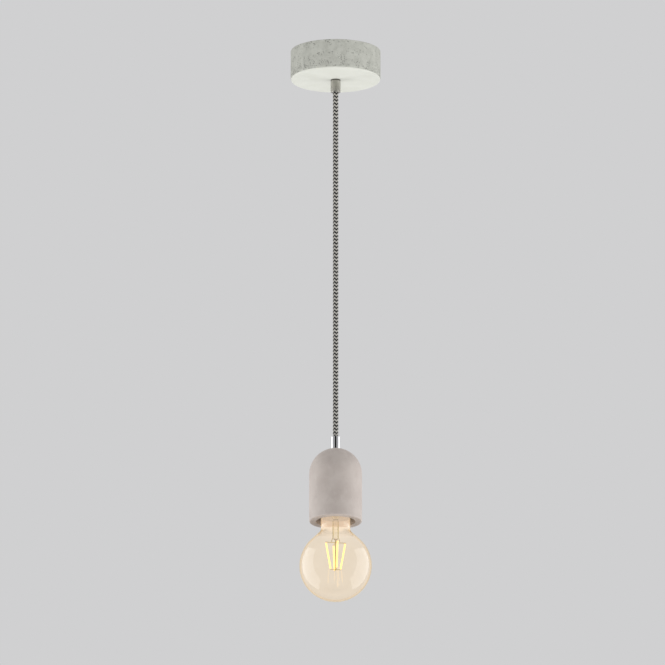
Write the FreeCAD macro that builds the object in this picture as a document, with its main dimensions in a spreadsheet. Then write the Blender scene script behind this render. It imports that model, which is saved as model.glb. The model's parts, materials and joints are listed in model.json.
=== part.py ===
"""Pendant ceiling light: a concrete canopy, a straight textile cord, a concrete
lamp shell round an E27 lampholder, and a globe filament bulb.

Millimetres. The origin is the centre of the canopy where it meets the ceiling,
+Z points up, so the whole light hangs in negative Z.
"""

import FreeCAD, Part
import math
import os

import Sketcher

doc = FreeCAD.newDocument("PendantLight")
sheet = doc.addObject("Spreadsheet::Sheet", "Sizes")


# ---------------------------------------------------------------- sizes and formulas


class Size:
    """A length that carries both its value and the sheet formula it comes from."""

    def __init__(self, value, formula):
        self.value = value
        self.formula = formula

    def __add__(self, other):
        other = as_size(other)
        return Size(self.value + other.value, f"({self.formula} + {other.formula})")

    def __radd__(self, other):
        return as_size(other) + self

    def __sub__(self, other):
        other = as_size(other)
        return Size(self.value - other.value, f"({self.formula} - {other.formula})")

    def __rsub__(self, other):
        return as_size(other) - self

    def __mul__(self, other):
        other = as_size(other)
        return Size(self.value * other.value, f"({self.formula} * {other.formula})")

    def __rmul__(self, other):
        return as_size(other) * self

    def __truediv__(self, other):
        other = as_size(other)
        return Size(self.value / other.value, f"({self.formula} / {other.formula})")

    def __neg__(self):
        return Size(-self.value, f"(0 - {self.formula})")


def as_size(number):
    if isinstance(number, Size):
        return number
    return Size(float(number), f"{number:.9g}" if number >= 0 else f"(0 - {-number:.9g})")


def root(size):
    return Size(math.sqrt(size.value), f"sqrt({size.formula})")


def sine(degrees):
    angle = as_size(degrees)
    return Size(math.sin(math.radians(angle.value)), f"sin({angle.formula} * 1 deg)")


def cosine(degrees):
    angle = as_size(degrees)
    return Size(math.cos(math.radians(angle.value)), f"cos({angle.formula} * 1 deg)")


sheet_rows = []


def dimension(alias, value, note):
    """Writes one driving dimension to the sheet and returns it as a Size."""
    sheet_rows.append(alias)
    row = len(sheet_rows)
    sheet.set(f"A{row}", note)
    sheet.set(f"B{row}", str(value))
    sheet.setAlias(f"B{row}", alias)
    return Size(float(value), f"Sizes.{alias}")


# Canopy
canopy_diameter = dimension("canopy_diameter", 100.0, "canopy outside diameter")
canopy_height = dimension("canopy_height", 33.0, "ceiling to underside of the canopy")
canopy_wall = dimension("canopy_wall", 8.0, "wall of the concrete canopy ring")
canopy_edge = dimension("canopy_edge", 1.0, "rounded lower edge of the canopy ring")
plate_thickness = dimension("plate_thickness", 1.5, "steel canopy plate")
plate_inset = dimension("plate_inset", 0.6, "plate edge inside the ring's edge")
plate_lip = dimension("plate_lip", 0.6, "rounded edge of the plate")
collar_height = dimension("collar_height", 8.0, "locating collar on the plate")
collar_wall = dimension("collar_wall", 1.2, "wall of the locating collar")

# Bracket
strap_length = dimension("strap_length", 78.0, "bracket, end to end")
strap_width = dimension("strap_width", 16.0, "bracket strap width")
strap_thickness = dimension("strap_thickness", 1.5, "bracket sheet")
strap_drop = dimension("strap_drop", 20.0, "ceiling to underside of the bracket's middle")
strap_half_step = dimension("strap_half_step", 20.0, "bracket centre to its leg's outside")
strap_bend = dimension("strap_bend", 2.0, "inside bend radius of the bracket")
slot_spacing = dimension("slot_spacing", 60.0, "ceiling screw spacing")
slot_width = dimension("slot_width", 4.5, "ceiling screw slot width")
slot_length = dimension("slot_length", 10.0, "ceiling screw slot, end to end")
tongue_width = dimension("tongue_width", 24.0, "bracket tongue under the terminal block")
tongue_length = dimension("tongue_length", 20.0, "tongue, from the strap's edge")

# Threaded tube parts and grips
thread_radius = dimension("thread_radius", 5.0, "M10 thread, outside radius")
thread_gap = dimension("thread_gap", 0.05, "radial gap in an M10 thread")
hole_gap = dimension("hole_gap", 0.25, "radial gap where M10 passes a plain hole")
grip_radius = dimension("grip_radius", 5.5, "cord grip body radius")
grip_length = dimension("grip_length", 14.4, "cord grip body length")
grip_chamfer = dimension("grip_chamfer", 0.5, "cord grip mouth chamfer")
nut_flats = dimension("nut_flats", 14.0, "lock nut across flats")
nut_height = dimension("nut_height", 3.5, "lock nut height")
washer_thickness = dimension("washer_thickness", 0.8, "toothed washer")
washer_radius = dimension("washer_radius", 8.0, "toothed washer outside radius")
washer_notch = dimension("washer_notch", 1.2, "notches between the washer's teeth, radius")
bush_radius = dimension("bush_radius", 7.0, "bracket bush collar radius")
bush_height = dimension("bush_height", 5.0, "bracket bush above the strap")
bush_spigot = dimension("bush_spigot", 1.2, "bush wall inside the strap's hole")
grub_radius = dimension("grub_radius", 1.5, "M3 grub screw radius")
grub_socket = dimension("grub_socket", 0.75, "grub screw hexagon, across flats / 2")
grub_gap = dimension("grub_gap", 0.05, "radial gap in the M3 thread")
grub_recess = dimension("grub_recess", 0.2, "grub screw below the grip's face")
grub_socket_depth = dimension("grub_socket_depth", 1.2, "grub screw socket depth")

# Cord
cord_radius = dimension("cord_radius", 3.1, "textile cord radius")
cord_gap = dimension("cord_gap", 0.25, "cord to grip bore")
cord_drop = dimension("cord_drop", 400.0, "cord between the two grips")
bend_length = dimension("bend_length", 12.0, "between the cord's two bending points")
cord_top_end = dimension("cord_top_end", 4.0, "cord above the bracket bush")
cord_low_end = dimension("cord_low_end", 1.0, "cord end above the holder collar's foot")
joint_gap = dimension("joint_gap", 0.3, "gap between moving pieces")
core_radius = dimension("core_radius", 1.1, "insulated core radius")
core_offset = dimension("core_offset", 1.4, "core centre from the cord's axis")
core_rise = dimension("core_rise", 4.5, "cores above the cord's upper end")
core_bend = dimension("core_bend", 2.2, "bend radius of the live and neutral cores")
earth_bend = dimension("earth_bend", 1.6, "bend radius of the earth core")
core_reach = dimension("core_reach", 3.5, "bared cores inside the terminal tubes")
core_setback = dimension("core_setback", 2.5, "cores in front of the terminal block")

# Terminal block
block_length = dimension("block_length", 26.0, "terminal block along X")
block_depth = dimension("block_depth", 15.0, "terminal block along Y")
block_height = dimension("block_height", 11.0, "terminal block height")
block_setback = dimension("block_setback", 13.0, "bracket centre line to the block")
pole_pitch = dimension("pole_pitch", 8.0, "between terminals")
clamp_radius = dimension("clamp_radius", 2.3, "brass terminal tube")
clamp_bore = dimension("clamp_bore", 1.4, "brass terminal tube bore")
clamp_inset = dimension("clamp_inset", 1.5, "terminal tube end behind the block's face")
clamp_screw_radius = dimension("clamp_screw_radius", 1.3, "terminal screw radius")
clamp_screw_length = dimension("clamp_screw_length", 3.6, "terminal screw length")
clamp_screw_well = dimension("clamp_screw_well", 0.3, "room round a terminal screw")
slot_half = dimension("slot_half", 0.3, "half the width of a small screw's slot")
slot_depth = dimension("slot_depth", 0.8, "depth of a small screw's slot")
block_screw_radius = dimension("block_screw_radius", 1.5, "M3 block screw radius")
block_screw_head = dimension("block_screw_head", 1.6, "M3 block screw head height")
block_screw_reach = dimension("block_screw_reach", 1.5, "block screw below the strap")
earth_radius = dimension("earth_radius", 2.0, "M4 earth screw radius")
earth_head_radius = dimension("earth_head_radius", 3.6, "M4 earth screw head radius")
earth_head = dimension("earth_head", 2.4, "M4 earth screw head height")
earth_reach = dimension("earth_reach", 2.0, "earth screw below the strap")
lug_thickness = dimension("lug_thickness", 0.8, "earth lug")
lug_radius = dimension("lug_radius", 3.8, "earth lug ring radius")
lug_half = dimension("lug_half", 1.2, "half the width of the earth lug's tab")
lug_reach = dimension("lug_reach", 7.5, "earth screw to the end of the lug's tab")
fit_gap = dimension("fit_gap", 0.05, "between a piece and its seat")

# Lamp shell
shell_radius = dimension("shell_radius", 29.5, "lamp shell outside radius")
shell_height = dimension("shell_height", 84.0, "lamp shell, seat to rim")
shell_wall = dimension("shell_wall", 8.0, "lamp shell wall")
shell_seat = dimension("shell_seat", 6.5, "flat seat under the grip, radius")
shell_edge = dimension("shell_edge", 1.5, "rounded rim of the shell")
inner_seat = dimension("inner_seat", 9.0, "flat seat inside the dome, radius")

# Lampholder
holder_gap = dimension("holder_gap", 2.0, "lampholder to shell bore")
holder_wall = dimension("holder_wall", 2.0, "lampholder cap wall")
collar_radius = dimension("collar_radius", 8.0, "holder cap threaded collar")
collar_depth = dimension("collar_depth", 9.0, "depth of thread in the holder cap")
skirt_recess = dimension("skirt_recess", 6.0, "holder lip above the shell's rim")
skirt_mouth_gap = dimension("skirt_mouth_gap", 0.9, "glass neck to holder lip")
cap_skirt_overlap = dimension("cap_skirt_overlap", 6.0, "skirt inside the holder cap")
insert_height = dimension("insert_height", 10.0, "ceramic terminal insert height")
insert_lap = dimension("insert_lap", 2.0, "holder cap's edge below the insert's top")
terminal_x = dimension("terminal_x", 8.0, "holder axis to a holder terminal")
holder_screw_radius = dimension("holder_screw_radius", 1.5, "holder terminal screw radius")
holder_core_bend = dimension("holder_core_bend", 3.0, "bend radius of the holder's cores")
tongue_room = dimension("tongue_room", 1.3, "contact tongue below the insert")
contact_width = dimension("contact_width", 6.0, "centre contact width")
strip_half = dimension("strip_half", 2.5, "half the width of the side contact")
sleeve_flange = dimension("sleeve_flange", 0.6, "thread sleeve flange thickness")
sleeve_drop = dimension("sleeve_drop", 2.0, "bulb tip to the thread sleeve's flange")
sheet_metal = dimension("sheet_metal", 0.3, "rolled thread sheet")
screw_pitch = dimension("screw_pitch", 3.629, "E27 thread pitch")
screw_swing = dimension("screw_swing", 0.5, "half the E27 thread depth")
screw_radius = dimension("screw_radius", 12.65, "E27 cap mean radius")
screw_gap = dimension("screw_gap", 0.25, "running gap in the E27 thread")

# Bulb
globe_radius = dimension("globe_radius", 40.4, "globe radius")
globe_drop = dimension("globe_drop", 51.0, "shell rim to globe centre")
neck_radius = dimension("neck_radius", 16.4, "bulb neck radius")
neck_blend = dimension("neck_blend", 8.0, "concave blend from neck to globe")
shoulder_angle = dimension("shoulder_angle", 44.0, "where the globe becomes a cone")
glass_wall = dimension("glass_wall", 0.7, "bulb glass")
seam_height = dimension("seam_height", 12.3, "shell rim up to the cap's lower edge")
screw_cap_length = dimension("screw_cap_length", 26.5, "bulb cap with its contact")
tip_rise = dimension("tip_rise", 4.5, "rolled thread to the bulb's tip")
insulator_radius = dimension("insulator_radius", 8.5, "black glass in the cap's window")
insulator_depth = dimension("insulator_depth", 1.5, "black glass below the cap's lid")
tip_radius = dimension("tip_radius", 4.75, "bulb tip contact radius")
tip_height = dimension("tip_height", 1.2, "bulb tip contact height")
cap_collar_radius = dimension("cap_collar_radius", 13.4, "bulb cap collar radius")
cap_collar_height = dimension("cap_collar_height", 5.0, "bulb cap collar height")
filament_top = dimension("filament_top", 11.0, "filament ring radius at the top")
filament_bottom = dimension("filament_bottom", 5.75, "filament ring radius at the bottom")
filament_height = dimension("filament_height", 30.0, "filament height")
filament_radius = dimension("filament_radius", 0.9, "filament radius")
filament_lift = dimension("filament_lift", 26.3, "globe centre up to the filament tops")
wire_radius = dimension("wire_radius", 0.35, "bulb lead wire radius")
stem_radius = dimension("stem_radius", 2.6, "glass stem radius")
stem_rise = dimension("stem_rise", 3.5, "filament tops to the stem's lower end")
stem_flare = dimension("stem_flare", 13.0, "height of the stem's flare")
support_radius = dimension("support_radius", 0.6, "filament support rod radius")
support_reach = dimension("support_reach", 1.5, "support rod below the filaments")
cross_wire_gap = dimension("cross_wire_gap", 0.6, "filament end to its cross wire")
board_half = dimension("board_half", 7.0, "half the width of the driver board")
board_skin = dimension("board_skin", 0.8, "half the thickness of the driver board")
chip_half = dimension("chip_half", 3.0, "half the width of the driver chip")
chip_height = dimension("chip_height", 5.0, "driver chip height")
contact_gap = dimension("contact_gap", 0.2, "holder tongue to bulb tip")
doc.recompute()

# Levels, all below the ceiling
plate_bottom = -canopy_height
plate_top = plate_bottom + plate_thickness
strap_bottom = -strap_drop
strap_top = strap_bottom + strap_thickness
bush_top = strap_top + bush_height
upper_mouth = plate_bottom - grip_length
lower_mouth = upper_mouth - cord_drop
dome_top = lower_mouth - grip_length
rim = dome_top - shell_height
dome_centre = dome_top - root(shell_radius * shell_radius - shell_seat * shell_seat)
bore_radius = shell_radius - shell_wall
bore_top = dome_centre + root(bore_radius * bore_radius - inner_seat * inner_seat)
holder_radius = bore_radius - holder_gap
lip = rim + skirt_recess
globe_centre = rim - globe_drop
seam = rim + seam_height
tip_top = seam + screw_cap_length
insert_bottom = tip_top + contact_gap + tongue_room
insert_top = insert_bottom + insert_height
screw_top = tip_top - tip_rise
screw_bottom = seam + cap_collar_height
pivot_side = upper_mouth
pivot_front = pivot_side - bend_length
cord_end = bore_top - collar_depth + cord_low_end
tail_top = bush_top + cord_top_end


# ---------------------------------------------------------------- building helpers

nodes = {}
sections_per_turn = 12


def is_zero(size):
    return abs(size.value) < 1e-12


def bind(target, field, size):
    """Binds a property to the sheet formula of a size."""
    target.setExpression(field, as_size(size).formula)


def keep(name, thing):
    """Names a finished piece, which is written out under that name."""
    thing.Label = name
    nodes[name] = thing
    return thing


def place(thing, x=0, y=0, z=0):
    bind(thing, "Placement.Base.x", x)
    bind(thing, "Placement.Base.y", y)
    bind(thing, "Placement.Base.z", z)


def turn(thing, axis, degrees):
    thing.Placement.Rotation = FreeCAD.Rotation(axis, degrees)


X_AXIS = FreeCAD.Vector(1, 0, 0)
Y_AXIS = FreeCAD.Vector(0, 1, 0)
Z_AXIS = FreeCAD.Vector(0, 0, 1)


def new_body(name):
    return doc.addObject("PartDesign::Body", name)


def new_sketch(body, name, role):
    """An empty sketch on one of the body's own origin planes."""
    sketch = body.newObject("Sketcher::SketchObject", name)
    plane = [f for f in body.Origin.OriginFeatures if f.Role == role][0]
    sketch.AttachmentSupport = [(plane, "")]
    sketch.MapMode = "FlatFace"
    return sketch


def arc_centre(start, end, radius):
    """Centre of the minor arc from start to end; a positive radius turns left."""
    chord = end - start
    middle = (start + end) * 0.5
    rise = math.sqrt(max(0.0, radius * radius - chord.Length * chord.Length / 4))
    left = FreeCAD.Vector(-chord.y, chord.x, 0) * (1.0 / chord.Length)
    return middle + left * math.copysign(rise, radius)


def draw_edge(sketch, start, end, radius):
    """Adds a line or an arc and says which of its ends is the start."""
    if radius is None:
        return sketch.addGeometry(Part.LineSegment(start, end), False), 1, 2
    centre = arc_centre(start, end, radius)
    first, last = (start, end) if radius > 0 else (end, start)
    begin = math.atan2(first.y - centre.y, first.x - centre.x)
    finish = math.atan2(last.y - centre.y, last.x - centre.x)
    if finish < begin:
        finish += 2 * math.pi
    circle = Part.Circle(centre, Z_AXIS, abs(radius))
    edge = sketch.addGeometry(Part.ArcOfCircle(circle, begin, finish), False)
    return (edge, 1, 2) if radius > 0 else (edge, 2, 1)


def constrain(sketch, constraint, size=None):
    index = sketch.addConstraint(constraint)
    if size is not None and "Sizes." in size.formula:
        sketch.setExpression(f"Constraints[{index}]", size.formula)


def outline(sketch, corners):
    """Draws a closed outline. Each corner is (across, up) or (across, up, radius),
    where the radius belongs to the arc that arrives at that corner."""
    corners = [tuple(as_size(v) for v in corner) for corner in corners]
    points = [FreeCAD.Vector(c[0].value, c[1].value, 0) for c in corners]
    edges = []
    for i, corner in enumerate(corners):
        previous = points[i - 1]
        radius = corner[2].value if len(corner) > 2 else None
        edges.append(draw_edge(sketch, previous, points[i], radius))
    for i, corner in enumerate(corners):
        edge, _, end = edges[i]
        after, start, _ = edges[(i + 1) % len(edges)]
        constrain(sketch, Sketcher.Constraint("Coincident", edge, end, after, start))
        if is_zero(corner[0]):
            constrain(sketch, Sketcher.Constraint("PointOnObject", edge, end, -2))
        else:
            across = Sketcher.Constraint("DistanceX", -1, 1, edge, end, corner[0].value)
            constrain(sketch, across, corner[0])
        if is_zero(corner[1]):
            constrain(sketch, Sketcher.Constraint("PointOnObject", edge, end, -1))
        else:
            up = Sketcher.Constraint("DistanceY", -1, 1, edge, end, corner[1].value)
            constrain(sketch, up, corner[1])
        if len(corner) > 2:
            size = corner[2] if corner[2].value > 0 else -corner[2]
            rise = points[i].y - points[i - 1].y
            if abs(rise - 2 * size.value) < 1e-9 or abs(rise + 2 * size.value) < 1e-9:
                # A half circle: its centre lies straight between its ends
                across = Sketcher.Constraint("DistanceX", -1, 1, edge, 3, corner[0].value)
                constrain(sketch, across, corner[0])
            else:
                constrain(sketch, Sketcher.Constraint("Radius", edge, size.value), size)


def turned(name, corners):
    """A piece turned round the Z axis from an outline of (radius, height)."""
    body = new_body(name)
    sketch = new_sketch(body, f"{name}_outline", "XZ_Plane")
    outline(sketch, corners)
    feature = body.newObject("PartDesign::Revolution", f"{name}_turning")
    feature.Profile = sketch
    feature.ReferenceAxis = (sketch, ["V_Axis"])
    feature.Angle = 360
    body.Tip = feature
    return keep(name, body)


def pad(body, sketch, length, midplane=False):
    feature = body.newObject("PartDesign::Pad", f"{sketch.Name}_pad")
    feature.Profile = sketch
    bind(feature, "Length", length)
    feature.Midplane = midplane
    body.Tip = feature
    return feature


def pocket_through(body, sketch):
    feature = body.newObject("PartDesign::Pocket", f"{sketch.Name}_pocket")
    feature.Profile = sketch
    feature.Type = "ThroughAll"
    feature.Midplane = True
    body.Tip = feature
    return feature


def circle_in(sketch, x, y, radius):
    x, y, radius = as_size(x), as_size(y), as_size(radius)
    centre = FreeCAD.Vector(x.value, y.value, 0)
    edge = sketch.addGeometry(Part.Circle(centre, Z_AXIS, radius.value), False)
    if is_zero(x):
        constrain(sketch, Sketcher.Constraint("PointOnObject", edge, 3, -2))
    else:
        constrain(sketch, Sketcher.Constraint("DistanceX", -1, 1, edge, 3, x.value), x)
    if is_zero(y):
        constrain(sketch, Sketcher.Constraint("PointOnObject", edge, 3, -1))
    else:
        constrain(sketch, Sketcher.Constraint("DistanceY", -1, 1, edge, 3, y.value), y)
    constrain(sketch, Sketcher.Constraint("Radius", edge, radius.value), radius)


def rod(name, radius, length, x=0, y=0, z=0):
    """A cylinder that stands on (x, y, z)."""
    thing = doc.addObject("Part::Cylinder", name)
    bind(thing, "Radius", radius)
    bind(thing, "Height", length)
    place(thing, x, y, z)
    return thing


def box(name, low, high):
    """A box between two corners."""
    low = [as_size(v) for v in low]
    high = [as_size(v) for v in high]
    thing = doc.addObject("Part::Box", name)
    for field, a, b in zip(("Length", "Width", "Height"), low, high):
        bind(thing, field, b - a)
    place(thing, *low)
    return thing


def hexagon(name, flats, height, x=0, y=0, z=0):
    thing = doc.addObject("Part::Prism", name)
    thing.Polygon = 6
    bind(thing, "Circumradius", flats / cosine(30) / 2)
    bind(thing, "Height", height)
    place(thing, x, y, z)
    return thing


def cut(name, base, tool):
    thing = doc.addObject("Part::Cut", name)
    thing.Base = base
    thing.Tool = tool
    return thing


def fuse(name, pieces):
    thing = doc.addObject("Part::MultiFuse", name)
    thing.Shapes = pieces
    return thing


def group(name, pieces):
    """Separate solids that share a node."""
    thing = doc.addObject("Part::Compound", name)
    thing.Links = pieces
    return thing


def vector(point):
    return FreeCAD.Vector(*[as_size(v).value for v in point])


def bent_path(points, radius):
    """Straight runs joined by tangent arcs of one radius."""
    edges = []
    start = points[0]
    for before, corner, after in zip(points, points[1:], points[2:]):
        arriving = (corner - before).normalize()
        leaving = (after - corner).normalize()
        half = arriving.getAngle(leaving) / 2
        reach = radius * math.tan(half)
        first = corner - arriving * reach
        last = corner + leaving * reach
        inward = (leaving - arriving).normalize()
        centre = corner + inward * (radius / math.cos(half))
        middle = centre - inward * radius
        edges.append(Part.LineSegment(start, first).toShape())
        edges.append(Part.Arc(first, middle, last).toShape())
        start = last
    edges.append(Part.LineSegment(start, points[-1]).toShape())
    return Part.Wire(edges)


def wire_piece(name, points, wire_size, bend):
    """A round wire along a bent path."""
    path = bent_path([vector(p) for p in points], bend)
    start = vector(points[0])
    direction = vector(points[1]) - start
    section = Part.Wire([Part.makeCircle(wire_size.value, start, direction)])
    thing = doc.addObject("Part::Feature", name)
    thing.Shape = path.makePipeShell([section], True, False)
    thing.Placement = FreeCAD.Placement()
    return thing


def rolled_thread(radius, bottom, top):
    """A solid rod with a rounded right-hand thread: level circles whose centres go
    round the axis once in a pitch, joined by ruled faces. Its crest lies towards +X
    at height zero."""
    length = top.value - bottom.value
    steps = math.ceil(length / screw_pitch.value * sections_per_turn)
    sections = []
    for i in range(steps + 1):
        level = bottom.value + length * i / steps
        angle = 2 * math.pi * level / screw_pitch.value
        across = screw_swing.value * math.cos(angle)
        back = screw_swing.value * math.sin(angle)
        circle = Part.makeCircle(radius.value, FreeCAD.Vector(across, back, level), Z_AXIS)
        sections.append(Part.Wire([circle]))
    return Part.makeLoft(sections, True, True, False)


# ---------------------------------------------------------------- canopy


def make_canopy_ring():
    outside = canopy_diameter / 2
    inside = outside - canopy_wall
    turned("canopy_ring", [
        (inside, 0),
        (inside, plate_top),
        (outside - canopy_edge, plate_top),
        (outside, plate_top + canopy_edge, canopy_edge),
        (outside, 0),
    ])


def make_canopy_plate():
    edge = canopy_diameter / 2 - plate_inset
    collar = canopy_diameter / 2 - canopy_wall - joint_gap
    hole = thread_radius + hole_gap
    turned("canopy_plate", [
        (hole, plate_top),
        (hole, plate_bottom),
        (edge - plate_lip, plate_bottom),
        (edge, plate_bottom + plate_lip, plate_lip),
        (edge, plate_top),
        (collar, plate_top),
        (collar, plate_top + collar_height),
        (collar - collar_wall, plate_top + collar_height),
        (collar - collar_wall, plate_top),
    ])


def strap_outline():
    """The bracket seen from the front: feet on the ceiling, middle lowered."""
    sheet_t = strap_thickness
    end = strap_length / 2
    leg = strap_half_step
    inner = strap_bend
    outer = strap_bend + strap_thickness
    right = [
        (leg - outer, strap_bottom),
        (leg, strap_bottom + outer, outer),
        (leg, -sheet_t - inner),
        (leg + inner, -sheet_t, -inner),
        (end, -sheet_t),
        (end, 0),
        (leg + inner, 0),
        (leg - sheet_t, -sheet_t - inner, outer),
        (leg - sheet_t, strap_top + inner),
        (leg - sheet_t - inner, strap_top, -inner),
    ]
    left = []
    for i in range(len(right) - 1, -1, -1):
        x, z = right[i][:2]
        arc = right[i + 1][2:] if i + 1 < len(right) else ()
        left.append((-as_size(x), z) + tuple(arc))
    return right + left


def make_mounting_bracket():
    body = new_body("mounting_bracket")
    side = new_sketch(body, "strap_side", "XZ_Plane")
    outline(side, strap_outline())
    pad(body, side, strap_width, midplane=True)
    tongue = new_sketch(body, "tongue_plan", "XY_Plane")
    bind(tongue, "AttachmentOffset.Base.z", strap_bottom)
    far = -strap_width / 2 - tongue_length
    half = tongue_width / 2
    outline(tongue, [(-half, far), (half, far), (half, 0), (-half, 0)])
    pad(body, tongue, strap_thickness)
    slots = new_sketch(body, "slot_plan", "XY_Plane")
    end = slot_width / 2
    straight = (slot_length - slot_width) / 2
    for side_sign in (-1, 1):
        middle = slot_spacing / 2 * side_sign
        outline(slots, [
            (middle + straight, -end),
            (middle + straight, end, end),
            (middle - straight, end),
            (middle - straight, -end, end),
        ])
    pocket_through(body, slots)
    holes = new_sketch(body, "hole_plan", "XY_Plane")
    circle_in(holes, 0, 0, thread_radius + thread_gap + bush_spigot + fit_gap)
    circle_in(holes, earth_x, 0, earth_radius + fit_gap)
    circle_in(holes, block_screw_x, block_middle, block_screw_radius + fit_gap)
    pocket_through(body, holes)
    keep("mounting_bracket", body)


def make_bracket_bush():
    bore = thread_radius + thread_gap
    spigot = bore + bush_spigot
    turned("bracket_bush", [
        (bore, strap_bottom),
        (spigot, strap_bottom),
        (spigot, strap_top),
        (bush_radius, strap_top),
        (bush_radius, bush_top),
        (bore, bush_top),
    ])


def make_lock_nut():
    level = plate_top + washer_thickness
    blank = hexagon("lock_nut_blank", nut_flats, nut_height, z=level)
    bore = rod("lock_nut_bore", thread_radius + thread_gap, nut_height, z=level)
    keep("lock_nut", cut("lock_nut_cut", blank, bore))


def make_toothed_washer():
    """A lock washer with ten outward teeth."""
    inner = thread_radius + hole_gap
    blank = rod("washer_blank", washer_radius, washer_thickness, z=plate_top)
    notches = [rod("washer_bore", inner, washer_thickness, z=plate_top)]
    teeth = 10
    for i in range(teeth):
        angle = 360.0 * i / teeth
        x = washer_radius * cosine(angle)
        y = washer_radius * sine(angle)
        notches.append(rod(f"washer_notch_{i + 1}", washer_notch, washer_thickness,
                           x, y, plate_top))
    keep("toothed_washer", cut("washer_cut", blank, fuse("washer_notches", notches)))


# ---------------------------------------------------------------- cord grips


def make_grip(name, mouth, base, shank_end, up):
    """A cord grip: a bored body with a threaded shank on its base. The upper grip
    points its shank up, the lower one down."""
    bore = cord_radius + cord_gap
    turned(name, [
        (bore + grip_chamfer, mouth),
        (grip_radius - grip_chamfer, mouth),
        (grip_radius, mouth + grip_chamfer * up),
        (grip_radius, base),
        (thread_radius, base),
        (thread_radius, shank_end),
        (bore, shank_end),
        (bore, mouth + grip_chamfer * up),
    ])
    body = nodes[name]
    level = (mouth + base) / 2
    side = new_sketch(body, f"{name}_screw_hole", "XZ_Plane")
    circle_in(side, 0, level, grub_radius + grub_gap)
    hole = body.newObject("PartDesign::Pocket", f"{name}_screw_pocket")
    hole.Profile = side
    bind(hole, "Length", grip_radius + 1.0)
    body.Tip = hole
    return level


def make_grub_screw(name, level):
    """The screw that pinches the cord, entering from the back (+Y)."""
    start = cord_radius + fit_gap
    length = grip_radius - start - grub_recess
    shank = rod(f"{name}_shank", grub_radius, length)
    socket = hexagon(f"{name}_socket", grub_socket * 2, grub_socket_depth,
                     z=length - grub_socket_depth)
    screw = cut(f"{name}_cut", shank, socket)
    place(screw, 0, start, level)
    turn(screw, X_AXIS, -90)
    keep(name, screw)


# ---------------------------------------------------------------- terminal block

block_top = strap_top + block_height
block_back = -block_setback - block_depth
block_middle = -block_setback - block_depth / 2
pole_level = strap_top + block_height * 0.45
poles = {"neutral": -pole_pitch, "live": as_size(0), "earth": pole_pitch}
block_screw_x = pole_pitch / 2
earth_x = (bush_radius + strap_half_step - strap_thickness - strap_bend) / 2 + 0.3
lead_y = -block_setback + core_setback
clamp_screw_places = [
    -block_setback - block_depth * 0.28,
    -block_setback - block_depth * 0.72,
]


def make_terminal_block():
    blank = box(
        "block_blank",
        (-block_length / 2, block_back, strap_top),
        (block_length / 2, -block_setback, block_top),
    )
    tools = [rod("block_screw_hole", block_screw_radius + fit_gap, block_height,
                 block_screw_x, block_middle, strap_top)]
    for pole, x in poles.items():
        bore = rod(f"block_bore_{pole}", clamp_radius + fit_gap, block_depth,
                   x, -block_setback, pole_level)
        turn(bore, X_AXIS, 90)
        tools.append(bore)
        for i, y in enumerate(clamp_screw_places):
            well = rod(f"block_well_{pole}_{i + 1}", clamp_screw_radius + clamp_screw_well,
                       block_top - pole_level, x, y, pole_level)
            tools.append(well)
    keep("terminal_block", cut("block_cut", blank, fuse("block_holes", tools)))


def make_terminal_clamps():
    tubes = []
    for pole, x in poles.items():
        length = block_depth - clamp_inset * 2
        start = -block_setback - clamp_inset
        tube = rod(f"clamp_tube_{pole}", clamp_radius, length, x, start, pole_level)
        turn(tube, X_AXIS, 90)
        bore = rod(f"clamp_bore_{pole}", clamp_bore, length, x, start, pole_level)
        turn(bore, X_AXIS, 90)
        tools = [bore]
        for i, y in enumerate(clamp_screw_places):
            tools.append(rod(f"clamp_tap_{pole}_{i + 1}", clamp_screw_radius + fit_gap,
                             clamp_radius, x, y, pole_level))
        holes = fuse(f"clamp_holes_{pole}", tools)
        tubes.append(cut(f"clamp_{pole}", tube, holes))
    keep("terminal_clamps", group("clamp_group", tubes))


def make_terminal_screws():
    screws = []
    for pole, x in poles.items():
        for i, y in enumerate(clamp_screw_places):
            bottom = pole_level + core_radius + fit_gap
            name = f"terminal_screw_{pole}_{i + 1}"
            shank = rod(f"{name}_shank", clamp_screw_radius, clamp_screw_length, x, y, bottom)
            top = bottom + clamp_screw_length
            slot = box(f"{name}_slot", (x - slot_half, y - clamp_screw_radius, top - slot_depth),
                       (x + slot_half, y + clamp_screw_radius, top))
            screws.append(cut(name, shank, slot))
    keep("terminal_screws", group("terminal_screw_group", screws))


def headed_screw(name, radius, head_radius, head_height, x, y, head_level, bottom):
    """A pan-head screw with a straight slot, head up."""
    shank = rod(f"{name}_shank", radius, head_level - bottom, x, y, bottom)
    head = rod(f"{name}_head", head_radius, head_height, x, y, head_level)
    top = head_level + head_height
    slot = box(f"{name}_slot", (x - 0.4, y - head_radius, top - head_height / 2),
               (x + 0.4, y + head_radius, top))
    solid = fuse(f"{name}_solid", [shank, head])
    keep(name, cut(f"{name}_cut", solid, slot))


def make_block_screw():
    headed_screw("block_screw", block_screw_radius, block_screw_radius * 1.6,
                 block_screw_head, block_screw_x, block_middle, block_top,
                 strap_bottom - block_screw_reach)


def make_earth_parts():
    lug_top = strap_top + lug_thickness
    headed_screw("earth_screw", earth_radius, earth_head_radius, earth_head,
                 earth_x, as_size(0), lug_top, strap_bottom - earth_reach)
    eye = rod("earth_lug_ring", lug_radius, lug_thickness, earth_x, 0, strap_top)
    tab = box("earth_lug_tab", (earth_x - lug_half, -lug_reach, strap_top),
              (earth_x + lug_half, -earth_radius - fit_gap * 20, lug_top))
    bore = rod("earth_lug_bore", earth_radius + fit_gap, lug_thickness, earth_x, 0, strap_top)
    solid = fuse("earth_lug_solid", [eye, tab])
    keep("earth_lug", cut("earth_lug_cut", solid, bore))


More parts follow.
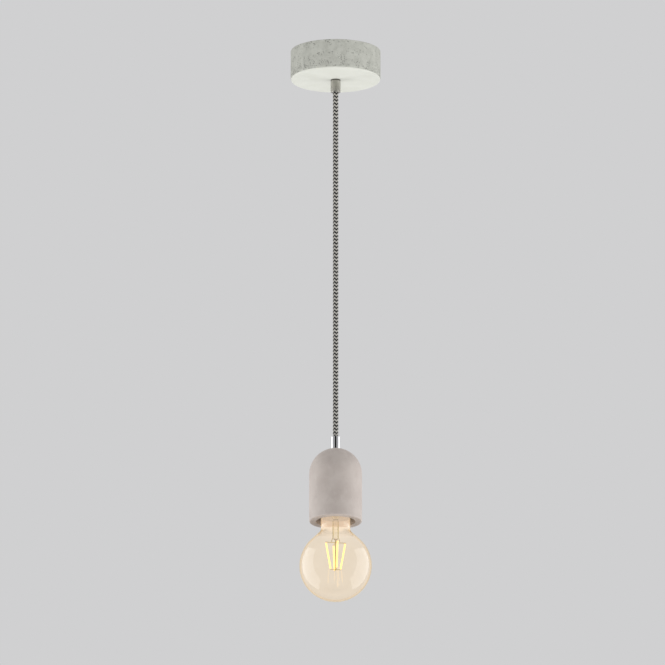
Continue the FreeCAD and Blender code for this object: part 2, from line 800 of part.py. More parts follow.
def make_canopy_leads():
    rise = tail_top + core_rise
    into = -block_setback - clamp_inset - core_reach
    for name, side in (("live", 1), ("neutral", -1)):
        start_x = core_offset * side
        x = poles[name]
        lead = wire_piece(f"{name}_lead_wire", [
            (start_x, 0, tail_top),
            (start_x, 0, rise),
            (x, lead_y, rise),
            (x, lead_y, pole_level),
            (x, into, pole_level),
        ], core_radius, core_bend.value)
        keep(f"{name}_lead", lead)
    low = strap_top + lug_thickness + core_radius
    x = poles["earth"]
    earth = wire_piece("earth_lead_wire", [
        (earth_x, -lug_radius - 0.2, low),
        (earth_x, -lug_reach - 0.5, low),
        (x, lead_y, pole_level),
        (x, into, pole_level),
    ], core_radius, earth_bend.value)
    keep("earth_lead", earth)


# ---------------------------------------------------------------- cord


def make_cord_tail():
    bottom = pivot_side + cord_radius + joint_gap
    keep("cord_tail", rod("cord_tail_rod", cord_radius, tail_top - bottom, z=bottom))


def make_cord_run(name, pivot, bottom):
    """A length of cord with a round top, which turns on its pivot."""
    turned(name, [
        (0, bottom),
        (cord_radius, bottom),
        (cord_radius, pivot),
        (0, pivot + cord_radius, cord_radius),
    ])


# ---------------------------------------------------------------- lamp shell and holder


def make_shell():
    edge = shell_edge
    inner_edge = shell_edge / 2
    hole = thread_radius + hole_gap
    turned("shell", [
        (hole, bore_top),
        (inner_seat, bore_top),
        (bore_radius, dome_centre, -bore_radius),
        (bore_radius, rim + inner_edge),
        (bore_radius + inner_edge, rim, inner_edge),
        (shell_radius - edge, rim),
        (shell_radius, rim + edge, edge),
        (shell_radius, dome_centre),
        (shell_seat, dome_top, shell_radius),
        (hole, dome_top),
    ])


def dome_height(radius, across):
    return dome_centre + root(radius * radius - across * across)


cap_bottom = insert_top - insert_lap


def make_holder_cap():
    """A plastic dome with a threaded collar that the shell hangs on."""
    outer = holder_radius
    inner = holder_radius - holder_wall
    bore = thread_radius + thread_gap
    collar_end = bore_top - collar_depth
    turned("holder_cap", [
        (bore, bore_top),
        (bore, collar_end),
        (collar_radius, collar_end),
        (collar_radius, dome_height(inner, collar_radius)),
        (inner, dome_centre, -inner),
        (inner, cap_bottom),
        (outer, cap_bottom),
        (outer, dome_centre),
        (collar_radius, dome_height(outer, collar_radius), outer),
        (collar_radius, bore_top),
    ])


sleeve_bore = screw_radius + screw_gap
sleeve_outside = sleeve_bore + sheet_metal
skirt_bore = sleeve_outside + screw_swing + joint_gap
spigot_radius = holder_radius - holder_wall - fit_gap


def make_holder_skirt():
    mouth = neck_radius + skirt_mouth_gap
    flare = seam - 1.0
    turned("holder_skirt", [
        (skirt_bore, cap_bottom + cap_skirt_overlap),
        (skirt_bore, seam + 1.5),
        (mouth, flare),
        (mouth, lip),
        (holder_radius, lip),
        (holder_radius, cap_bottom - fit_gap),
        (spigot_radius, cap_bottom - fit_gap),
        (spigot_radius, cap_bottom + cap_skirt_overlap),
    ])


insert_radius = skirt_bore - fit_gap
terminal_level = insert_bottom + insert_height / 2


def make_holder_insert():
    """The ceramic disc that carries the contacts and the two terminals."""
    blank = rod("insert_blank", insert_radius, insert_height, z=insert_bottom)
    tools = []
    for side in (-1, 1):
        hole = rod(f"insert_well_{side + 2}", core_radius + 0.3, insert_height * 0.7,
                   terminal_x * side, 0, insert_bottom + insert_height * 0.3)
        tools.append(hole)
        tap = rod(f"insert_tap_{side + 2}", holder_screw_radius + fit_gap,
                  insert_radius - terminal_x + 1.0,
                  terminal_x * side, 0, terminal_level)
        turn(tap, Y_AXIS, 90 * side)
        tools.append(tap)
    keep("holder_insert", cut("insert_cut", blank, fuse("insert_holes", tools)))


def make_holder_screws():
    screws = []
    start = terminal_x + core_radius + fit_gap
    length = insert_radius - start - slot_half
    for side in (-1, 1):
        name = f"holder_screw_{side + 2}"
        shank = rod(f"{name}_shank", holder_screw_radius, length)
        slot = box(f"{name}_slot", (-slot_half, -holder_screw_radius, length - slot_depth),
                   (slot_half, holder_screw_radius, length))
        screw = cut(name, shank, slot)
        place(screw, start * side, 0, terminal_level)
        turn(screw, Y_AXIS, 90 * side)
        screws.append(screw)
    keep("holder_terminal_screws", group("holder_screw_group", screws))


def make_holder_leads():
    for name, side in (("holder_live_lead", 1), ("holder_neutral_lead", -1)):
        start = core_offset * side
        x = terminal_x * side
        lead = wire_piece(f"{name}_wire", [
            (start, 0, cord_end),
            (start, 0, cord_end - 3.0),
            (x, 0, cord_end - 11.0),
            (x, 0, insert_bottom + insert_height * 0.35),
        ], core_radius, holder_core_bend.value)
        keep(name, lead)


def make_centre_contact():
    """A sprung brass tongue that presses on the bulb's tip."""
    metal = sheet_metal * 1.5
    low = tip_top + contact_gap
    root_z = insert_bottom
    body = new_body("centre_contact")
    side = new_sketch(body, "tongue_side", "XZ_Plane")
    outline(side, [
        (-9.5, root_z),
        (-9.5, root_z - metal),
        (-5.5, root_z - metal),
        (-2.0, low),
        (2.5, low),
        (2.5, low + metal),
        (-1.8, low + metal),
        (-5.2, root_z),
    ])
    pad(body, side, contact_width, midplane=True)
    keep("centre_contact", body)


sleeve_top = tip_top - sleeve_drop
sleeve_bottom = screw_bottom + 0.6


def make_side_contact():
    strip = box(
        "side_strip",
        (sleeve_bore, -strip_half, sleeve_top + sleeve_flange + fit_gap),
        (sleeve_bore + sheet_metal * 2, strip_half, insert_bottom),
    )
    keep("side_contact", strip)


def rolled_piece(name, outside, inside, bottom, top, inside_top, extra):
    """A rolled thread sleeve, joined to the turned pieces at its ends. Its hollow
    ends at inside_top, so a hollow that stops short leaves the sleeve a lid."""
    solid = rolled_thread(outside, bottom, top)
    hollow = rolled_thread(inside, bottom - 1.0, inside_top)
    thing = doc.addObject("Part::Feature", f"{name}_thread")
    thing.Shape = solid.cut(hollow)
    thing.Placement = FreeCAD.Placement()
    return fuse(f"{name}_whole", [thing] + extra)


def ring(name, outside, inside, bottom, top):
    blank = rod(f"{name}_blank", outside, top - bottom, z=bottom)
    bore = rod(f"{name}_hole", inside, top - bottom, z=bottom)
    return cut(name, blank, bore)


def make_thread_sleeve():
    flange = ring("sleeve_flange", skirt_bore - fit_gap, sleeve_bore - screw_swing - 0.2,
                  sleeve_top, sleeve_top + sleeve_flange)
    top = sleeve_top + sleeve_flange / 2
    sleeve = rolled_piece("thread_sleeve", sleeve_outside, sleeve_bore, sleeve_bottom, top,
                          top + 1.0, [flange])
    keep("thread_sleeve", sleeve)


# ---------------------------------------------------------------- bulb


insulator_bottom = screw_top - sheet_metal - insulator_depth


def make_bulb_cap():
    """Nickel-plated screw cap: a rolled thread with a lid, on a plain collar."""
    collar = ring("cap_collar", cap_collar_radius, cap_collar_radius - sheet_metal,
                  seam, screw_bottom)
    step = ring("cap_step", cap_collar_radius, screw_radius - screw_swing - sheet_metal * 2,
                screw_bottom - sheet_metal, screw_bottom)
    threaded = rolled_piece("bulb_cap", screw_radius, screw_radius - sheet_metal,
                            screw_bottom - sheet_metal / 2, screw_top,
                            screw_top - sheet_metal, [collar, step])
    window = rod("cap_window", insulator_radius, sheet_metal * 4, z=screw_top - sheet_metal * 2)
    keep("bulb_cap", cut("bulb_cap_cut", threaded, window))


def make_bulb_tip():
    low = tip_top - tip_height
    turned("bulb_tip_contact", [
        (0, low),
        (tip_radius, low),
        (tip_radius, low + tip_height / 2),
        (tip_radius - tip_height / 2, tip_top, tip_height / 2),
        (0, tip_top),
    ])


def make_cap_insulator():
    """Black glass that seals the cap's top and carries the tip contact."""
    broad = screw_radius - screw_swing - sheet_metal * 2
    turned("cap_insulator", [
        (0, insulator_bottom),
        (broad, insulator_bottom),
        (broad, screw_top - sheet_metal - fit_gap),
        (insulator_radius - fit_gap, screw_top - sheet_metal - fit_gap),
        (insulator_radius - fit_gap, screw_top),
        (tip_radius, tip_top - tip_height - joint_gap),
        (0, tip_top - tip_height - joint_gap),
    ])


def glass_skin(offset):
    """Corners of the bulb's outline, from the neck down to the bottom, set in by
    an offset: neck, concave blend, cone, then globe."""
    globe = globe_radius - offset
    neck = neck_radius - offset
    blend = neck_blend + offset
    lean = shoulder_angle
    blend_r = neck + blend
    blend_z = (globe + blend - blend_r * sine(lean)) / cosine(lean)
    seat = cap_collar_radius - sheet_metal - fit_gap - offset
    return [
        (seat, seam + cap_collar_height - 0.8),
        (seat, seam - 0.4),
        (neck, seam - 5.5),
        (neck, globe_centre + blend_z),
        (blend_r - blend * sine(lean), globe_centre + blend_z - blend * cosine(lean), blend),
        (globe * sine(lean), globe_centre + globe * cosine(lean)),
        (globe, globe_centre, -globe),
        (0, globe_centre - globe, -globe),
    ]


def reverse_corners(corners):
    """The same outline walked backwards, arcs turned the other way."""
    walked = []
    for i in range(len(corners) - 1, -1, -1):
        arc = corners[i + 1][2:] if i + 1 < len(corners) else ()
        walked.append(tuple(corners[i][:2]) + tuple(-radius for radius in arc))
    return walked


def make_bulb_glass():
    outer = glass_skin(as_size(0))
    inner = reverse_corners(glass_skin(glass_wall))
    turned("bulb_glass", outer + inner)


stem_top = seam + cap_collar_height - 1.5
stem_tip = globe_centre + filament_lift + stem_rise
filament_level = globe_centre + filament_lift
filament_angles = (12, 102, 192, 282)


def make_bulb_stem():
    flare = cap_collar_radius - sheet_metal - fit_gap * 2 - glass_wall
    turned("bulb_stem", [
        (0, stem_tip),
        (stem_radius, stem_tip + stem_radius, stem_radius),
        (stem_radius, stem_top - stem_flare),
        (flare, stem_top - 1.0),
        (flare, stem_top),
        (flare - 1.0, stem_top),
        (stem_radius - 1.0, stem_top - stem_flare + 0.4),
        (0, stem_top - stem_flare + 0.4),
    ])


def make_support_rod():
    bottom = filament_level - filament_height - support_reach
    top = stem_tip - fit_gap * 2
    keep("support_rod", rod("support_rod_wire", support_radius, top - bottom, z=bottom))


def make_filament_wires():
    """Cross wires from the support rod to each filament end."""
    wires = []
    for level, reach, tag in (
        (filament_level + cross_wire_gap, filament_top, "top"),
        (filament_level - filament_height - cross_wire_gap, filament_bottom, "bottom"),
    ):
        for i, angle in enumerate(filament_angles):
            start = support_radius + fit_gap
            wire = rod(f"cross_wire_{tag}_{i + 1}", wire_radius, reach - start + 0.5)
            place(wire, start * cosine(angle), start * sine(angle), level)
            wire.Placement.Rotation = FreeCAD.Rotation(Z_AXIS, angle) * FreeCAD.Rotation(Y_AXIS, 90)
            wires.append(wire)
    keep("cross_wires", group("cross_wire_group", wires))


def make_filaments():
    """Four glowing sticks that lean in towards the bottom."""
    lean = math.degrees(math.atan((filament_top.value - filament_bottom.value)
                                  / filament_height.value))
    inset = filament_top - filament_bottom
    length = root(filament_height * filament_height + inset * inset) - 0.7
    sticks = []
    for i, angle in enumerate(filament_angles):
        stick = rod(f"filament_{i + 1}", filament_radius, length)
        place(stick, filament_bottom * cosine(angle), filament_bottom * sine(angle),
              filament_level - filament_height + 0.3)
        stick.Placement.Rotation = FreeCAD.Rotation(Z_AXIS, angle) * FreeCAD.Rotation(Y_AXIS, lean)
        sticks.append(stick)
    keep("filaments", group("filament_group", sticks))


def make_lead_wires():
    """Two wires down the outside of the stem to the top cross wires."""
    wires = []
    for side in (-1, 1):
        start = (stem_radius + wire_radius + fit_gap) * side
        wires.append(wire_piece(f"lead_wire_{side + 2}", [
            (start, 0, stem_top - stem_flare - 1.5),
            (start, 0, stem_tip + 3.0),
            (start * 1.6, 0, filament_level + cross_wire_gap + wire_radius * 3),
        ], wire_radius, 2.0))
    keep("lead_wires", group("lead_wire_group", wires))


def make_driver_board():
    board = box("board", (-board_half, -board_skin, stem_top + board_skin),
                (board_half, board_skin, insulator_bottom - fit_gap * 2))
    low = stem_top + chip_half
    chip = box("board_chip", (-chip_half, board_skin, low),
               (chip_half, chip_half, low + chip_height))
    keep("driver_board", fuse("driver_board_whole", [board, chip]))


# ---------------------------------------------------------------- assembly

make_canopy_ring()
make_canopy_plate()
make_mounting_bracket()
make_bracket_bush()
make_lock_nut()
make_toothed_washer()
upper_screw_level = make_grip("canopy_grip", upper_mouth, plate_bottom, bush_top, 1)
make_grub_screw("canopy_grip_screw", upper_screw_level)
make_terminal_block()
make_terminal_clamps()
make_terminal_screws()
make_block_screw()
make_earth_parts()
make_canopy_leads()
make_cord_tail()
make_cord_run("cord_bend", pivot_side, pivot_front + cord_radius + joint_gap)
make_cord_run("cord", pivot_front, cord_end)
lower_screw_level = make_grip("holder_grip", lower_mouth, dome_top, cord_end, -1)
make_grub_screw("holder_grip_screw", lower_screw_level)
make_shell()
make_holder_cap()
make_holder_skirt()
make_holder_insert()
make_holder_screws()
make_holder_leads()
make_centre_contact()
make_side_contact()
make_thread_sleeve()
make_bulb_tip()
make_cap_insulator()
make_bulb_cap()
make_bulb_glass()
make_bulb_stem()
make_support_rod()
make_filament_wires()
make_filaments()
make_lead_wires()
make_driver_board()

doc.recompute()

for thing in doc.Objects:
    if "Invalid" in thing.State or "Error" in thing.State:
        raise RuntimeError(f"{thing.Label} failed: {thing.State}")
for name, thing in nodes.items():
    if thing.Shape.isNull() or not thing.Shape.isValid():
        raise RuntimeError(f"{name} has no valid shape")

os.makedirs("parts", exist_ok=True)
for name, thing in nodes.items():
    thing.Shape.exportStep(f"parts/{name}.step")
    print(f"{name}: {len(thing.Shape.Solids)} solid(s), {thing.Shape.Volume:.1f} mm3")
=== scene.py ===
"""Pendant ceiling light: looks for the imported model.

Concrete canopy and lamp shell, a braided textile cord, cord grips in satin nickel
and polished chrome, and a lit amber filament globe. Lengths are in metres.
"""

import json
import math

import bmesh
import bpy
import numpy as np
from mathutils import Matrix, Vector


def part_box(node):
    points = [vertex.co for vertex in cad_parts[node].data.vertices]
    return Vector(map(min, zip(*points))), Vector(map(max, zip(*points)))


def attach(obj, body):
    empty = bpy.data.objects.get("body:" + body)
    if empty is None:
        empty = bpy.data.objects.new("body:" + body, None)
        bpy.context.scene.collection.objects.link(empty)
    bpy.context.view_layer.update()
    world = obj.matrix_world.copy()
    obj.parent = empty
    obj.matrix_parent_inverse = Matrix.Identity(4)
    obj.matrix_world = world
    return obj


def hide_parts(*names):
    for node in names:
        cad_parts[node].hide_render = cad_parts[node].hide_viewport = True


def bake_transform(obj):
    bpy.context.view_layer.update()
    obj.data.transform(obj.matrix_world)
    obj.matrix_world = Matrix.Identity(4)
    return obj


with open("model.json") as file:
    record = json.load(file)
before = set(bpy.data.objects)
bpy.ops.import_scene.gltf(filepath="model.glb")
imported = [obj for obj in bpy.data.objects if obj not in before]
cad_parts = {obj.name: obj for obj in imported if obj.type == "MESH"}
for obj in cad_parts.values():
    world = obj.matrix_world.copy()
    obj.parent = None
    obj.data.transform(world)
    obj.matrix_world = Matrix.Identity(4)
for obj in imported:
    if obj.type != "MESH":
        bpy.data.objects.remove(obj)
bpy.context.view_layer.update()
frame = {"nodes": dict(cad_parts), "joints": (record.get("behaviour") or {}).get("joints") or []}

MM = 0.001


# ------------------------------------------------------------------ places from the frame


def top_of(node):
    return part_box(node)[1][2]


def bottom_of(node):
    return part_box(node)[0][2]


def radius_of(node):
    return (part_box(node)[1][0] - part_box(node)[0][0]) / 2


def pivot_of(joint):
    return [j for j in frame["joints"] if j["name"] == joint][0]["pos_m"][2]


LOWER_MOUTH = top_of("holder_grip")
CORD_RADIUS = radius_of("cord")
CORD_TOP = top_of("cord_tail")
CORD_BOTTOM = bottom_of("cord")
SIDE_PIVOT = pivot_of("swing_side")
FRONT_PIVOT = pivot_of("swing_front")
LINK_MIDDLE = (SIDE_PIVOT + FRONT_PIVOT) / 2


# ------------------------------------------------------------------ camera

PICTURE_WIDTH = 0.740
CAMERA_ELEVATION = math.radians(-16.5)
CAMERA_DISTANCE = 3.0
CAMERA_AIM = Vector((-0.00345, 0.0, -0.326))


def add_camera():
    """A long-lens view from below the lamp, looking up at the ceiling."""
    data = bpy.data.cameras.new("Camera")
    data.type = "ORTHO"
    data.ortho_scale = PICTURE_WIDTH
    data.clip_end = 50
    camera = bpy.data.objects.new("Camera", data)
    bpy.context.scene.collection.objects.link(camera)
    away = Vector((0, -math.cos(CAMERA_ELEVATION), math.sin(CAMERA_ELEVATION)))
    camera.location = CAMERA_AIM + away * CAMERA_DISTANCE
    camera.rotation_euler = (math.pi / 2 - CAMERA_ELEVATION, 0, 0)
    bpy.context.scene.camera = camera


add_camera()


# ------------------------------------------------------------------ mesh helpers


def link(name, mesh):
    piece = bpy.data.objects.new(name, mesh)
    bpy.context.scene.collection.objects.link(piece)
    return piece


def quads_of_grid(rows, columns, wrap_rows, wrap_columns, first=0):
    """Corner numbers of every quad in a grid of points, as an (n, 4) array."""
    r = np.arange(rows if wrap_rows else rows - 1)
    c = np.arange(columns if wrap_columns else columns - 1)
    r, c = np.meshgrid(r, c, indexing="ij")
    up = (r + 1) % rows
    right = (c + 1) % columns
    corners = np.stack([r * columns + c, r * columns + right, up * columns + right, up * columns + c], -1)
    return corners.reshape(-1, 4) + first


def end_quads(rows, columns, first=0):
    """Quads that close both ends of a tube of points, facing as its sides do."""
    k = np.arange(columns // 2 - 1)
    lid = np.stack([k, k + 1, columns - 2 - k, columns - 1 - k], -1)
    return np.vstack([lid[:, ::-1] + first, lid + (rows - 1) * columns + first])


def mesh_from(name, points, faces, uv=None):
    """A smooth mesh from points (n, 3) and quads (m, 4), with an optional (n, 2) UV."""
    mesh = bpy.data.meshes.new(name)
    mesh.vertices.add(len(points))
    mesh.vertices.foreach_set("co", np.ascontiguousarray(points, np.float32).ravel())
    mesh.loops.add(faces.size)
    mesh.loops.foreach_set("vertex_index", faces.astype(np.int32).ravel())
    mesh.polygons.add(len(faces))
    mesh.polygons.foreach_set("loop_start", np.arange(0, faces.size, 4, dtype=np.int32))
    mesh.polygons.foreach_set("use_smooth", np.ones(len(faces), bool))
    mesh.update(calc_edges=True)
    if uv is not None:
        layer = mesh.uv_layers.new(name="UVMap")
        layer.data.foreach_set("uv", uv[faces.ravel()].astype(np.float32).ravel())
    mesh.validate()
    return mesh


def close_poles(mesh):
    """Joins the points that a turned surface has several times over on its axis."""
    work = bmesh.new()
    work.from_mesh(mesh)
    bmesh.ops.remove_doubles(work, verts=work.verts, dist=0.0001 * MM)
    bmesh.ops.dissolve_degenerate(work, edges=work.edges, dist=0.0001 * MM)
    work.to_mesh(mesh)
    work.free()
    mesh.polygons.foreach_set("use_smooth", np.ones(len(mesh.polygons), bool))


def arc(across, level, radius, start, end, points):
    """Profile points round a circle: (across + radius cos t, level + radius sin t),
    with t going from start to end degrees."""
    t = np.radians(np.linspace(start, end, points))
    return np.stack([across + radius * np.cos(t), level + radius * np.sin(t)], -1)


def rounded(corners, arc_points=7, hold=0.15 * MM):
    """A profile line of (radius, height, fillet) corners: each corner is replaced by
    an arc of its fillet radius, with a holding point just before and after it."""
    line = [np.array(corners[0][:2])]
    for before, corner, after in zip(corners, corners[1:], corners[2:]):
        p = np.array(corner[:2])
        into = np.array(before[:2]) - p
        out = np.array(after[:2]) - p
        room = min(np.linalg.norm(into), np.linalg.norm(out))
        into /= np.linalg.norm(into)
        out /= np.linalg.norm(out)
        half = math.acos(np.clip(into @ out, -1, 1)) / 2
        reach = min(corner[2] / math.tan(half), room * 0.45)
        fillet = reach * math.tan(half)
        centre = p + (into + out) / np.linalg.norm(into + out) * fillet / math.sin(half)
        start = p + into * reach - centre
        end = p + out * reach - centre
        sweep = math.acos(np.clip(start @ end / (fillet * fillet), -1, 1))
        line.append(centre + start + into * hold)
        for k in range(arc_points):
            t = k / (arc_points - 1)
            mixed = start * math.sin((1 - t) * sweep) + end * math.sin(t * sweep)
            line.append(centre + mixed / math.sin(sweep))
        line.append(centre + end + out * hold)
    line.append(np.array(corners[-1][:2]))
    return np.array(line)


def divided(line, step):
    """The same profile with its long stretches cut into pieces no longer than step."""
    parts = []
    for a, b in zip(line[:-1], line[1:]):
        count = max(1, int(math.ceil(np.linalg.norm(b - a) / step)))
        parts.append(a + (b - a) * (np.arange(count) / count)[:, None])
    return np.vstack(parts + [line[-1:]])


def turned_points(line, columns):
    """Every profile point turned round the Z axis: x = r cos a, y = r sin a."""
    angle = np.arange(columns) * 2 * math.pi / columns
    r, z = line[:, :1], line[:, 1:]
    return np.stack([r * np.cos(angle), r * np.sin(angle), z + 0 * angle], -1)


def turned(name, line, columns, shape=None):
    """A piece turned round the Z axis from a closed profile that goes down its outer
    side. The shape function moves the points, given as an array (rows, columns, 3)."""
    points = turned_points(line, columns)
    if shape is not None:
        points = shape(points)
    faces = quads_of_grid(len(line), columns, True, True)
    mesh = mesh_from(name, points.reshape(-1, 3), faces[:, ::-1])
    close_poles(mesh)
    return link(name, mesh)


# ------------------------------------------------------------------ textile cord

LAY = 16.6 * MM           # one turn of a yarn carrier
CARRIERS = 8              # each way round
YARN_WIDTH = 1.60 * MM
YARN_HEIGHT = 0.52 * MM
WEAVE_DEPTH = 0.20 * MM   # how far a carrier rises and dips
WEAVE_STEP = 0.28 * MM    # between the rings of points along a yarn
WEAVE_FLATNESS = 1.7      # how long a yarn stays up or down between its crossings
YARN_SQUARENESS = 0.8     # exponent of the yarn's section, 1 being an ellipse
YARN_POINTS = 8
CORE_POINTS = 24
CORE_RADIUS = CORD_RADIUS - 0.62 * MM
BRAID_START_TURN = 0.30   # where round the cord the pattern begins
BRAID_END = LOWER_MOUTH - 8 * MM


def carrier(index, direction, heights):
    """One flat yarn of a two-over two-under braid, as a closed tube of points.

    The yarn winds round the cord at angle = 2 pi z / lay, one way or the other. Its
    distance from the axis follows a flattened cosine of the crossings it meets, so
    it lies over two yarns and then under two."""
    turn = heights / LAY
    angle = 2 * math.pi * (direction * turn + index / CARRIERS + BRAID_START_TURN)
    crossing = 2 * index + direction * 2 * CARRIERS * turn
    if direction > 0:
        phase = (crossing - 0.5) / 4
    else:
        phase = (crossing - 2.5) / 4
    wave = np.tanh(WEAVE_FLATNESS * np.cos(2 * math.pi * phase)) / math.tanh(WEAVE_FLATNESS)
    middle = CORD_RADIUS - YARN_HEIGHT / 2 - WEAVE_DEPTH * (1 - wave)
    slope = math.atan2(LAY, 2 * math.pi * (CORD_RADIUS - YARN_HEIGHT))
    around = np.linspace(0, 2 * math.pi, YARN_POINTS, endpoint=False)
    side = np.cos(around)
    across = np.sign(side) * np.abs(side) ** YARN_SQUARENESS * YARN_WIDTH / 2
    lift = np.sin(around) * YARN_HEIGHT / 2
    bend = middle[:, None] + lift
    shift_angle = -direction * across * math.sin(slope) / (CORD_RADIUS - YARN_HEIGHT / 2)
    theta = angle[:, None] + shift_angle
    z = heights[:, None] + across * math.cos(slope)
    points = np.stack([bend * np.cos(theta), bend * np.sin(theta), z], -1)
    along = np.repeat(heights[:, None] / math.sin(slope), YARN_POINTS, 1)
    uv = np.stack([np.tile(around / (2 * math.pi), (len(heights), 1)), along / MM], -1)
    return points, uv


def braid(name, high, low, carriers):
    """The yarns of one colour between two heights, joined in one mesh. Yarns wound
    one way have their quads turned over, so that all of them face outwards."""
    count = int(math.ceil((high - low) / WEAVE_STEP)) + 1
    heights = np.linspace(high, low, count)
    all_points, all_faces, all_uv = [], [], []
    first = 0
    for index, direction in carriers:
        points, uv = carrier(index, direction, heights)
        faces = np.vstack([quads_of_grid(count, YARN_POINTS, False, True, first),
                           end_quads(count, YARN_POINTS, first)])
        if direction > 0:
            faces = faces[:, ::-1]
        all_points.append(points.reshape(-1, 3))
        all_uv.append(uv.reshape(-1, 2))
        all_faces.append(faces)
        first += points.shape[0] * points.shape[1]
    mesh = mesh_from(name, np.vstack(all_points), np.vstack(all_faces), np.vstack(all_uv))
    return link(name, mesh)


def route_points(route):
    """Points along a NURBS line through the route's control points."""
    curve = bpy.data.curves.new("cord_route", "CURVE")
    curve.dimensions = "3D"
    spline = curve.splines.new("NURBS")
    spline.points.add(len(route) - 1)
    for point, place in zip(spline.points, route):
        point.co = (*place, 1)
    spline.order_u = 3
    spline.use_endpoint_u = True
    spline.resolution_u = 150
    carrier_object = bpy.data.objects.new("cord_route", curve)
    mesh = bpy.data.meshes.new_from_object(carrier_object)
    line = np.array([v.co for v in mesh.vertices])
    bpy.data.meshes.remove(mesh)
    bpy.data.curves.remove(curve)
    return line


def cord_tube(name, line):
    """The rubber-coated core under the braid: rings of one radius round a hanging line."""
    angle = np.arange(CORE_POINTS) * 2 * math.pi / CORE_POINTS
    ring = np.stack([np.cos(angle), np.sin(angle), 0 * angle], -1) * CORE_RADIUS
    points = line[:, None, :] + ring[None]
    faces = np.vstack([quads_of_grid(len(line), CORE_POINTS, False, True),
                       end_quads(len(line), CORE_POINTS)])
    return link(name, mesh_from(name, points.reshape(-1, 3), faces[:, ::-1]))


def black_carriers():
    return [(i, d) for i in range(0, CARRIERS, 2) for d in (1, -1)]


def white_carriers():
    return [(i, d) for i in range(1, CARRIERS, 2) for d in (1, -1)]


# ------------------------------------------------------------------ finishes


def srgb(red, green, blue):
    """A colour given as 0 to 255 screen values, as linear light."""
    value = np.array([red, green, blue]) / 255
    linear = np.where(value <= 0.04045, value / 12.92, ((value + 0.055) / 1.055) ** 2.4)
    return (*linear.tolist(), 1.0)


class Finish:
    """A material under construction: its node tree, its shader and short ways to add
    nodes. Patterns are measured in millimetres on Object coordinates."""

    def __init__(self, name):
        self.material = bpy.data.materials.new(name)
        self.material.use_nodes = True
        self.tree = self.material.node_tree
        self.shader = self.tree.nodes["Principled BSDF"]
        self.coordinates = None

    def set(self, **values):
        for socket, value in values.items():
            self.shader.inputs[socket.replace("_", " ").title().replace("Ior", "IOR")].default_value = value
        return self

    def node(self, kind, settings=None, **inputs):
        made = self.tree.nodes.new(kind)
        for field, value in (settings or {}).items():
            setattr(made, field, value)
        for socket, value in inputs.items():
            target = made.inputs[int(socket[1:])] if socket[1:].isdigit() else made.inputs[socket]
            if isinstance(value, bpy.types.NodeSocket):
                self.tree.links.new(value, target)
            else:
                target.default_value = value
        return made

    def place(self, stretch=(1, 1, 1)):
        """Object coordinates in millimetres, with a stretch along each axis."""
        source = self.node("ShaderNodeTexCoord").outputs["Object"]
        scale = tuple(1000 * s for s in stretch)
        return self.node("ShaderNodeMapping", Vector=source, Scale=scale).outputs[0]

    def thread_place(self, stretch=(1, 1, 1)):
        """The piece's own UV, with a stretch along each axis."""
        source = self.node("ShaderNodeUVMap").outputs[0]
        return self.node("ShaderNodeMapping", Vector=source, Scale=stretch).outputs[0]

    def height(self):
        """Height in millimetres, negative below the ceiling."""
        return self.node("ShaderNodeSeparateXYZ", Vector=self.place()).outputs["Z"]

    def noise(self, where, size, detail=3.0, roughness=0.55):
        """Cloudy noise whose blotches are about size millimetres."""
        return self.node("ShaderNodeTexNoise", Vector=where, Scale=1 / size, Detail=detail,
                         Roughness=roughness).outputs[0]

    def cells(self, where, size):
        """Distance to the nearest of many scattered points, size millimetres apart."""
        return self.node("ShaderNodeTexVoronoi", Vector=where, Scale=1 / size).outputs["Distance"]

    def span(self, value, low, high, to_low=0.0, to_high=1.0):
        """Maps a value from one range to another, clamped, with smooth ends."""
        made = self.node("ShaderNodeMapRange", {"interpolation_type": "SMOOTHSTEP"}, Value=value)
        for socket, number in zip(("From Min", "From Max", "To Min", "To Max"), (low, high, to_low, to_high)):
            made.inputs[socket].default_value = number
        return made.outputs[0]

    def math(self, operation, first, second):
        return self.node("ShaderNodeMath", {"operation": operation}, _0=first, _1=second).outputs[0]

    def blend(self, amount, first, second):
        """Mixes two colours."""
        made = self.node("ShaderNodeMix", {"data_type": "RGBA"})
        for index, value in ((0, amount), (6, first), (7, second)):
            if isinstance(value, bpy.types.NodeSocket):
                self.tree.links.new(value, made.inputs[index])
            else:
                made.inputs[index].default_value = value
        return made.outputs[2]

    def colour(self, socket):
        self.tree.links.new(socket, self.shader.inputs["Base Color"])
        return self

    def rough(self, socket):
        self.tree.links.new(socket, self.shader.inputs["Roughness"])
        return self

    def bump(self, height, depth, after=None):
        """Bump of a real depth in millimetres where height runs from 0 to 1."""
        made = self.node("ShaderNodeBump", Height=height, Distance=depth * MM)
        if after is not None:
            self.tree.links.new(after, made.inputs["Normal"])
        self.tree.links.new(made.outputs[0], self.shader.inputs["Normal"])
        return made.outputs[0]


